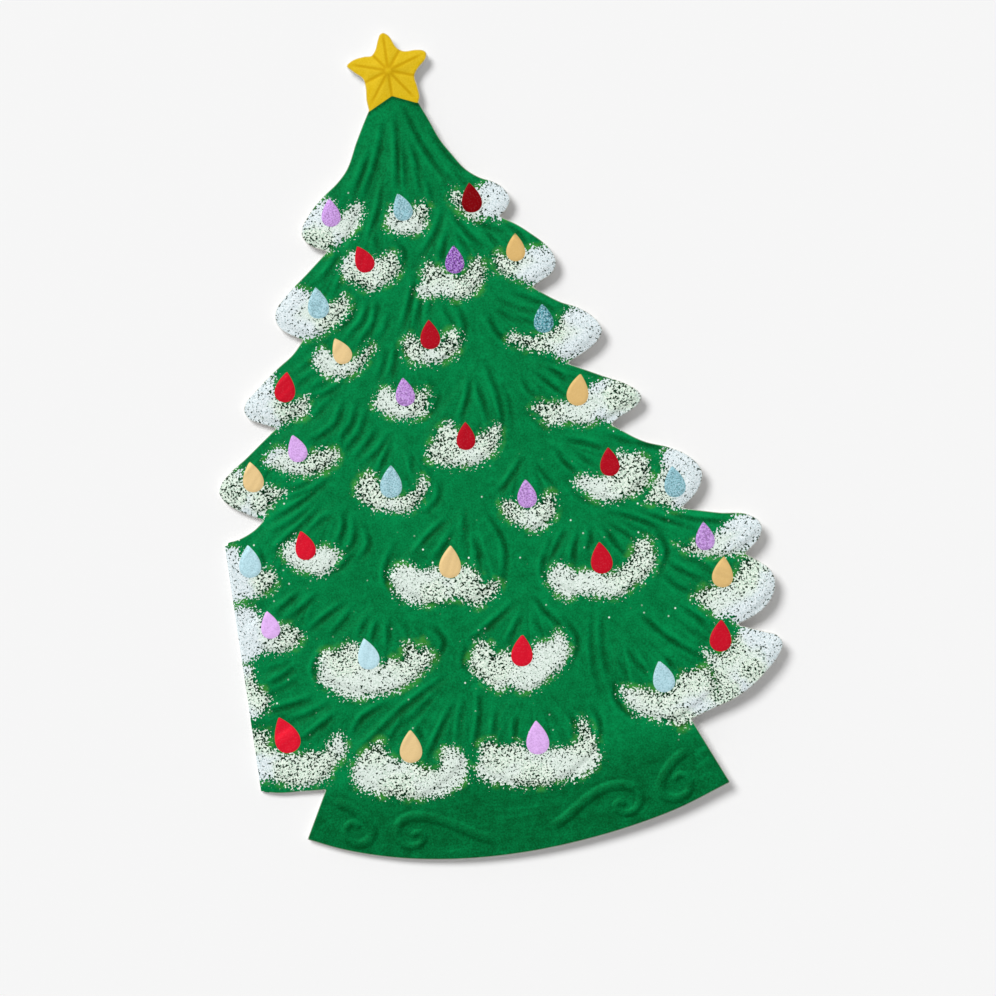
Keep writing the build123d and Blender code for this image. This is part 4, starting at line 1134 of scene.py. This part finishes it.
class Finish:
    """A material that is put together from nodes."""

    def __init__(self, name):
        self.material = bpy.data.materials.new(name)
        self.material.use_nodes = True
        self.tree = self.material.node_tree
        self.tree.nodes.clear()

    def node(self, kind, settings, sockets, output=0):
        """Makes a node, sets it, fills or links its sockets, and gives back one of its outputs."""
        made = self.tree.nodes.new(kind)
        for name, value in settings.items():
            setattr(made, name, value)
        for name, value in sockets.items():
            if isinstance(value, Wire):
                self.tree.links.new(value.socket, made.inputs[name])
            else:
                made.inputs[name].default_value = value
        return Wire(self, made.outputs[output]) if made.outputs else made

    def carried(self, name, output="Fac"):
        """A value that the mesh carries at its points."""
        return self.node("ShaderNodeAttribute", {"attribute_name": name}, {}, output)

    def place(self):
        """The place on the card, in its own coordinates."""
        return self.node("ShaderNodeTexCoord", {}, {}, "Object")

    def part_of(self, place, axis):
        """One part of a place on the card, in millimetres."""
        return (1 / MM) * self.node("ShaderNodeSeparateXYZ", {}, {0: place}, axis)

    def noise(self, size, detail=2.0, roughness=0.6, stretch=1.0):
        """Cloudy noise whose lumps are about the given size in millimetres, drawn out along the width."""
        mapping = {"Vector": self.place(), "Scale": (1 / stretch, 1.0, 1.0)}
        place = self.node("ShaderNodeMapping", {}, mapping)
        sockets = {"Vector": place, "Scale": 1 / (size * MM), "Detail": detail, "Roughness": roughness}
        return self.node("ShaderNodeTexNoise", {}, sockets)

    def tooth(self, height, depth):
        """Fine unevenness of the sheet, up to a depth in millimetres, which only the light shows."""
        return self.node("ShaderNodeBump", {}, {"Distance": depth * MM, "Height": height}, "Normal")

    def blend(self, share, first, second):
        """A colour that goes from the first to the second."""
        # A Mix node has sockets for several kinds of value, and those for colours are 6, 7 and output 2
        return self.node("ShaderNodeMix", {"data_type": "RGBA"}, {0: share, 6: first, 7: second}, 2)

    def surface(self, colour, roughness, extra):
        """The shader and the material's output."""
        sockets = {"Base Color": colour, "Roughness": roughness, **extra}
        shader = self.node("ShaderNodeBsdfPrincipled", {}, sockets)
        self.node("ShaderNodeOutputMaterial", {}, {"Surface": shader})


print("finishes can make:", [name for name in vars(Finish) if not name.startswith("__")])

# %% [markdown]
# The printed front is put together ink by ink, one over the other. Green comes first. Its tone is what
# the mesh carries, print and painted light and shade together, with a fine grain and a broad cloud
# added, and with long streaks on the foot. A picture could carry all this, but sums of carried values
# and noise stay sharp at any size.

# %% Green ink
GRAIN_SIZE = 0.36
GRAIN_SHARE = 0.9
CLOUD_SIZE = 2.5
CLOUD_SHARE = 0.5
FOOT_STREAK_SIZE = 0.8
FOOT_STREAK_STRETCH = 14.0
FOOT_STREAK_SHARE = 0.2
NOISE_MIDDLE = 0.5
GREEN_RANGE = (-0.1, 1.1)
DEEP_GREEN = paint(0, 72, 30)
LIT_GREEN = paint(2, 152, 84)

printed = Finish("printed_front")
grain = printed.noise(GRAIN_SIZE)
cloud = printed.noise(CLOUD_SIZE)
foot_streak = printed.noise(FOOT_STREAK_SIZE, stretch=FOOT_STREAK_STRETCH)
on_foot = printed.carried("foot_share")
tone = printed.carried("green_ink_and_painted_light")
tone = tone + GRAIN_SHARE * (grain - NOISE_MIDDLE) + CLOUD_SHARE * (cloud - NOISE_MIDDLE)
tone = tone + FOOT_STREAK_SHARE * on_foot * (foot_streak - NOISE_MIDDLE)
green = printed.blend(tone.step(*GREEN_RANGE), DEEP_GREEN, LIT_GREEN)
print("nodes with the green:", len(printed.tree.nodes))

# %% [markdown]
# Under the snow the green turns dark, and round it there is a yellow-green fringe here and there. The
# dabs are a fine noise, cut at a threshold. Outside a patch the threshold is too high for any dab. On
# the way in it falls in three steps, until the dabs close up, and in thin places it rises again.

# %% Ground and dabs of the snow
FRINGE_RANGE = (-1.6, 0.0)
FRINGE_LUMP = 3.0
FRINGE_CUT = (0.45, 0.65)
FRINGE_SHARE = 0.6
FRINGE_GREEN = paint(76, 160, 52)
DARK_RANGE = (-0.5, 1.5)
DARK_SHARE = 0.95
DARK_GREEN = paint(1, 28, 12)
THIN_CLOUD = 0.8
DAB_SIZE = 0.45
# Each step of the threshold: how far it falls, and between which depths
DAB_STEPS = [(0.30, (-3.0, -1.2)), (0.28, (-1.5, 1.1)), (0.07, (0.8, 2.6))]
THIN_RISE = 0.1
DAB_EDGE = (-0.02, 0.03)

snow_depth = printed.carried("snow_depth")
thin_snow = printed.carried("snow_thin") + THIN_CLOUD * (cloud - NOISE_MIDDLE)
fringe = snow_depth.step(*FRINGE_RANGE) * printed.noise(FRINGE_LUMP).step(*FRINGE_CUT)
ground = printed.blend(FRINGE_SHARE * fringe, green, FRINGE_GREEN)
ground = printed.blend(DARK_SHARE * snow_depth.step(*DARK_RANGE), ground, DARK_GREEN)
threshold = 1.0 + THIN_RISE * thin_snow
for fall, depths in DAB_STEPS:
    threshold = threshold - fall * snow_depth.step(*depths)
cover = (printed.noise(DAB_SIZE, detail=1.0) - threshold).step(*DAB_EDGE)
print("nodes with the dabs:", len(printed.tree.nodes))

# %% [markdown]
# The dabs are not one white. Each is speckled by a still finer noise between a dull and a clear white.
# Near the card's edge the white is a little cold, further in it is a little warm, and in thin places
# the green shines through.

# %% Whites of the snow
SALT_SIZE = 0.3
SALT_CUT = (0.35, 0.62)
INNER_RANGE = (3.0, 5.8)
THIN_RANGE = (0.1, 0.6)
COLD_WHITES = (paint(204, 219, 222), paint(238, 247, 250))
WARM_WHITES = (paint(203, 220, 208), paint(236, 247, 240))
THIN_WHITES = (paint(188, 214, 194), paint(244, 254, 241))

salt = printed.noise(SALT_SIZE, detail=1.0).step(*SALT_CUT)
edge_depth = printed.carried("edge_depth")
inner_patch = edge_depth.step(*INNER_RANGE)
dull_white, clear_white = (
    printed.blend(inner_patch, cold, warm) for cold, warm in zip(COLD_WHITES, WARM_WHITES)
)
thick_white = printed.blend(salt, dull_white, clear_white)
thin_white = printed.blend(salt, *THIN_WHITES)
white = printed.blend(thin_snow.step(*THIN_RANGE), thick_white, thin_white)
inked = printed.blend(cover, ground, white)
print("nodes with the snow:", len(printed.tree.nodes))

# %% [markdown]
# A few loose flecks of white lie on the open green. A Voronoi texture divides the card into cells. A
# cell's random colour says whether it has a fleck, and the distance to its middle draws it. There are
# fewer in the upper half, and none on the foot.

# %% Loose flecks
FLECK_CELL = 1.6
FLECK_SIZE = (0.07, 0.17)
FLECK_CHOICE = (0.84, 0.96)
FLECK_CLOUD = 0.5
FLECK_NEAR_SNOW = (-8.5, -6.0)
UPPER_RANGE = (-25.0, 5.0)
UPPER_SHARE = 0.1
FLECK_WHITE = paint(246, 255, 248)

place = printed.place()
cells = {"Vector": place, "Scale": 1 / (FLECK_CELL * MM)}
in_plane = {"voronoi_dimensions": "2D"}
fleck_way = printed.node("ShaderNodeTexVoronoi", in_plane, cells, "Distance")
fleck_kind = printed.node("ShaderNodeTexVoronoi", in_plane, cells, "Color")
upper_half = printed.part_of(place, "Y").step(*UPPER_RANGE)
chance = fleck_kind + FLECK_CLOUD * (cloud - NOISE_MIDDLE) - UPPER_SHARE * upper_half
chosen = chance.step(*FLECK_CHOICE) * snow_depth.step(*FLECK_NEAR_SNOW) * (1 - on_foot)
inked = printed.blend(chosen * (1 - fleck_way.step(*FLECK_SIZE)), inked, FLECK_WHITE)
print("nodes with the flecks:", len(printed.tree.nodes))

# %% [markdown]
# The star is yellow. Its ten creases get painted shade, darker than its faces, with a painted
# highlight beside them. The mesh is too coarse for such thin lines, so the finish works out how far a
# place is from the nearest crease by itself. The creases fade at the middle and towards the tips.

# %% Yellow star
CREASES = 10
YELLOW_RANGE = (0.2, 0.8)
YELLOWS = (paint(216, 178, 14), paint(232, 196, 38))
RIDGE_INSIDE = (0.3, 0.5)
RIDGE_OUTSIDE = (0.7, 1.3)
RIDGE_HIGHLIGHT_SHARE = 0.15
RIDGE_HIGHLIGHT_YELLOW = paint(234, 200, 58)
CREASE_EDGE = (0.08, 0.46)
CREASE_STARTS = (0.1, 1.0)
CREASE_ENDS = (6.3, 8.8)
CREASE_SHADE_SHARE = 0.62
CREASE_SHADE_YELLOW = paint(194, 146, 2)
STAR_INK_EDGE = (-0.05, 0.08)

centre_x, centre_y = placed(*STAR_CENTRE, 0.0)[:2] / MM
star_x = printed.part_of(place, "X") - centre_x
star_y = printed.part_of(place, "Y") - centre_y
off_crease = star_x.off_ray(star_y, CREASES)
from_middle = star_x.length_with(star_y)
# Painted highlight on the ridges beside the creases, and painted shade in the creases
ridge_highlight = off_crease.step(*RIDGE_INSIDE) * (1 - off_crease.step(*RIDGE_OUTSIDE))
crease_shade = (1 - off_crease.step(*CREASE_EDGE)) * from_middle.step(*CREASE_STARTS)
crease_shade = crease_shade * (1 - from_middle.step(*CREASE_ENDS))
# The yellow follows the green's tone, so it takes up the painted light and shade there too
yellow = printed.blend(tone.step(*YELLOW_RANGE), *YELLOWS)
yellow = printed.blend(RIDGE_HIGHLIGHT_SHARE * ridge_highlight, yellow, RIDGE_HIGHLIGHT_YELLOW)
yellow = printed.blend(CREASE_SHADE_SHARE * crease_shade, yellow, CREASE_SHADE_YELLOW)
inked = printed.blend(printed.carried("star_depth").step(*STAR_INK_EDGE), inked, yellow)
print("nodes with the star:", len(printed.tree.nodes))

# %% [markdown]
# Foil lies over all inks. Stamped on rough card it doesn't shine evenly: dark and pale glints are painted
# into its colour as reflection, more of them in the dull drops. At the card's very edge the ink is worn,
# and the pale core of the sheet shows. A faint bump gives the whole front the tooth of paper.

# %% Foil, edge and shader
DROP_INK_EDGE = (-0.06, 0.06)
GLINT_SIZE = 0.34
DARK_GLINT = (0.38, 0.52)
PALE_GLINT = (0.54, 0.68)
PALE_GLINT_SHARE = 0.6
BLACK = (0.0, 0.0, 0.0, 1.0)
GLINT_PALE = paint(236, 232, 246)
CORE_EDGE = (0.03, 0.22)
CORE_SHARE = 0.6
CORE_PAPER = paint(236, 234, 222)
INK_ROUGHNESS = 0.6
FOIL_SMOOTHER = 0.1
FOIL_METAL = 0.1
INK_SPECULAR = 0.03
PRINT_TOOTH = 0.015

on_drop = printed.carried("drop_depth").step(*DROP_INK_EDGE)
glint_strength = printed.carried("foil_colour", "Alpha")
glint = printed.noise(GLINT_SIZE, detail=1.0)
# Painted reflection: dark and pale glints in the foil
dark_glint = glint_strength * (1 - glint.step(*DARK_GLINT))
pale_glint = PALE_GLINT_SHARE * glint_strength * glint.step(*PALE_GLINT)
foil_shown = printed.blend(dark_glint, printed.carried("foil_colour", "Color"), BLACK)
foil_shown = printed.blend(pale_glint, foil_shown, GLINT_PALE)
inked = printed.blend(on_drop, inked, foil_shown)
inked = printed.blend(CORE_SHARE * (1 - edge_depth.step(*CORE_EDGE)), inked, CORE_PAPER)
print_extra = {
    "Metallic": FOIL_METAL * on_drop,
    "Specular IOR Level": INK_SPECULAR,
    "Normal": printed.tooth(grain, PRINT_TOOTH),
}
printed.surface(inked, INK_ROUGHNESS - FOIL_SMOOTHER * on_drop, print_extra)
print("nodes of the printed front:", len(printed.tree.nodes))

# %% [markdown]
# The cut edge, the inside and the back are bare paper: matt and white, with fibres that lie mostly one
# way. A noise that is drawn out gives them, both as a slight change of colour and as a faint bump.

# %% Bare paper
FIBRE_SIZE = 0.5
FIBRE_DETAIL = 3.0
FIBRE_ROUGH = 0.7
FIBRE_STRETCH = 3.0
FIBRE_RANGE = (0.3, 0.7)
FIBRE_TOOTH = 0.03
PAPER_ROUGHNESS = 0.7
FIBRE_ROUGHER = 0.1
PAPER_WHITES = (paint(236, 234, 228), paint(244, 243, 239))

paper = Finish("white_paper")
fibres = paper.noise(FIBRE_SIZE, FIBRE_DETAIL, FIBRE_ROUGH, FIBRE_STRETCH)
fibre_white = paper.blend(fibres.step(*FIBRE_RANGE), *PAPER_WHITES)
fibre_roughness = PAPER_ROUGHNESS + FIBRE_ROUGHER * fibres
paper.surface(fibre_white, fibre_roughness, {"Normal": paper.tooth(fibres, FIBRE_TOOTH)})
for finish in (printed, paper):
    card_mesh.materials.append(finish.material)
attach(card, "root")
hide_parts("folded_card")
print("finishes:", [material.name for material in card_mesh.materials])

# %% [markdown]
# The card lies on a white table. A soft lamp stands at its upper left, and the pale room fills the
# shadows, so that together they light a white sheet to about white.

# %% Table and light
TABLE_HALF = 1.5
TABLE_CORNERS = [(TABLE_HALF * x, TABLE_HALF * y) for x, y in ((-1, -1), (1, -1), (1, 1), (-1, 1))]
TABLE_LEVEL = -0.05 * MM
TABLE_WHITE = (0.93, 0.93, 0.93, 1.0)
TABLE_ROUGHNESS = 0.9
LAMP_PLACE = (-0.55, 0.6)
LAMP_STRENGTH = 2.4
LAMP_SPREAD = math.radians(25)
ROOM_WHITE = (1.0, 1.0, 1.0, 1.0)
ROOM_STRENGTH = 0.4

table_corners = [(x, y, TABLE_LEVEL) for x, y in TABLE_CORNERS]
table_mesh = bpy.data.meshes.new("table")
table_mesh.from_pydata(table_corners, [], [(0, 1, 2, 3)])
table = bpy.data.objects.new("table", table_mesh)
bpy.context.collection.objects.link(table)
table_top = Finish("white_table")
table_top.surface(TABLE_WHITE, TABLE_ROUGHNESS, {})
table_mesh.materials.append(table_top.material)

lamp = bpy.data.objects.new("window_lamp", bpy.data.lights.new("window_lamp", "SUN"))
bpy.context.collection.objects.link(lamp)
lamp.data.energy = LAMP_STRENGTH
lamp.data.angle = LAMP_SPREAD
to_lamp = LAMP_PLACE[0] * right + LAMP_PLACE[1] * up + Vector((0, 0, 1))
lamp.rotation_euler = to_lamp.to_track_quat("Z", "Y").to_euler()

room = bpy.data.worlds.new("pale_room")
bpy.context.scene.world = room
room.use_nodes = True
room_light = room.node_tree.nodes["Background"]
room_light.inputs["Color"].default_value = ROOM_WHITE
room_light.inputs["Strength"].default_value = ROOM_STRENGTH
bpy.context.scene.view_settings.view_transform = "Standard"
print("lamp stands towards", [round(part, 2) for part in to_lamp])

# %% [markdown] The looks must not change the card's size.
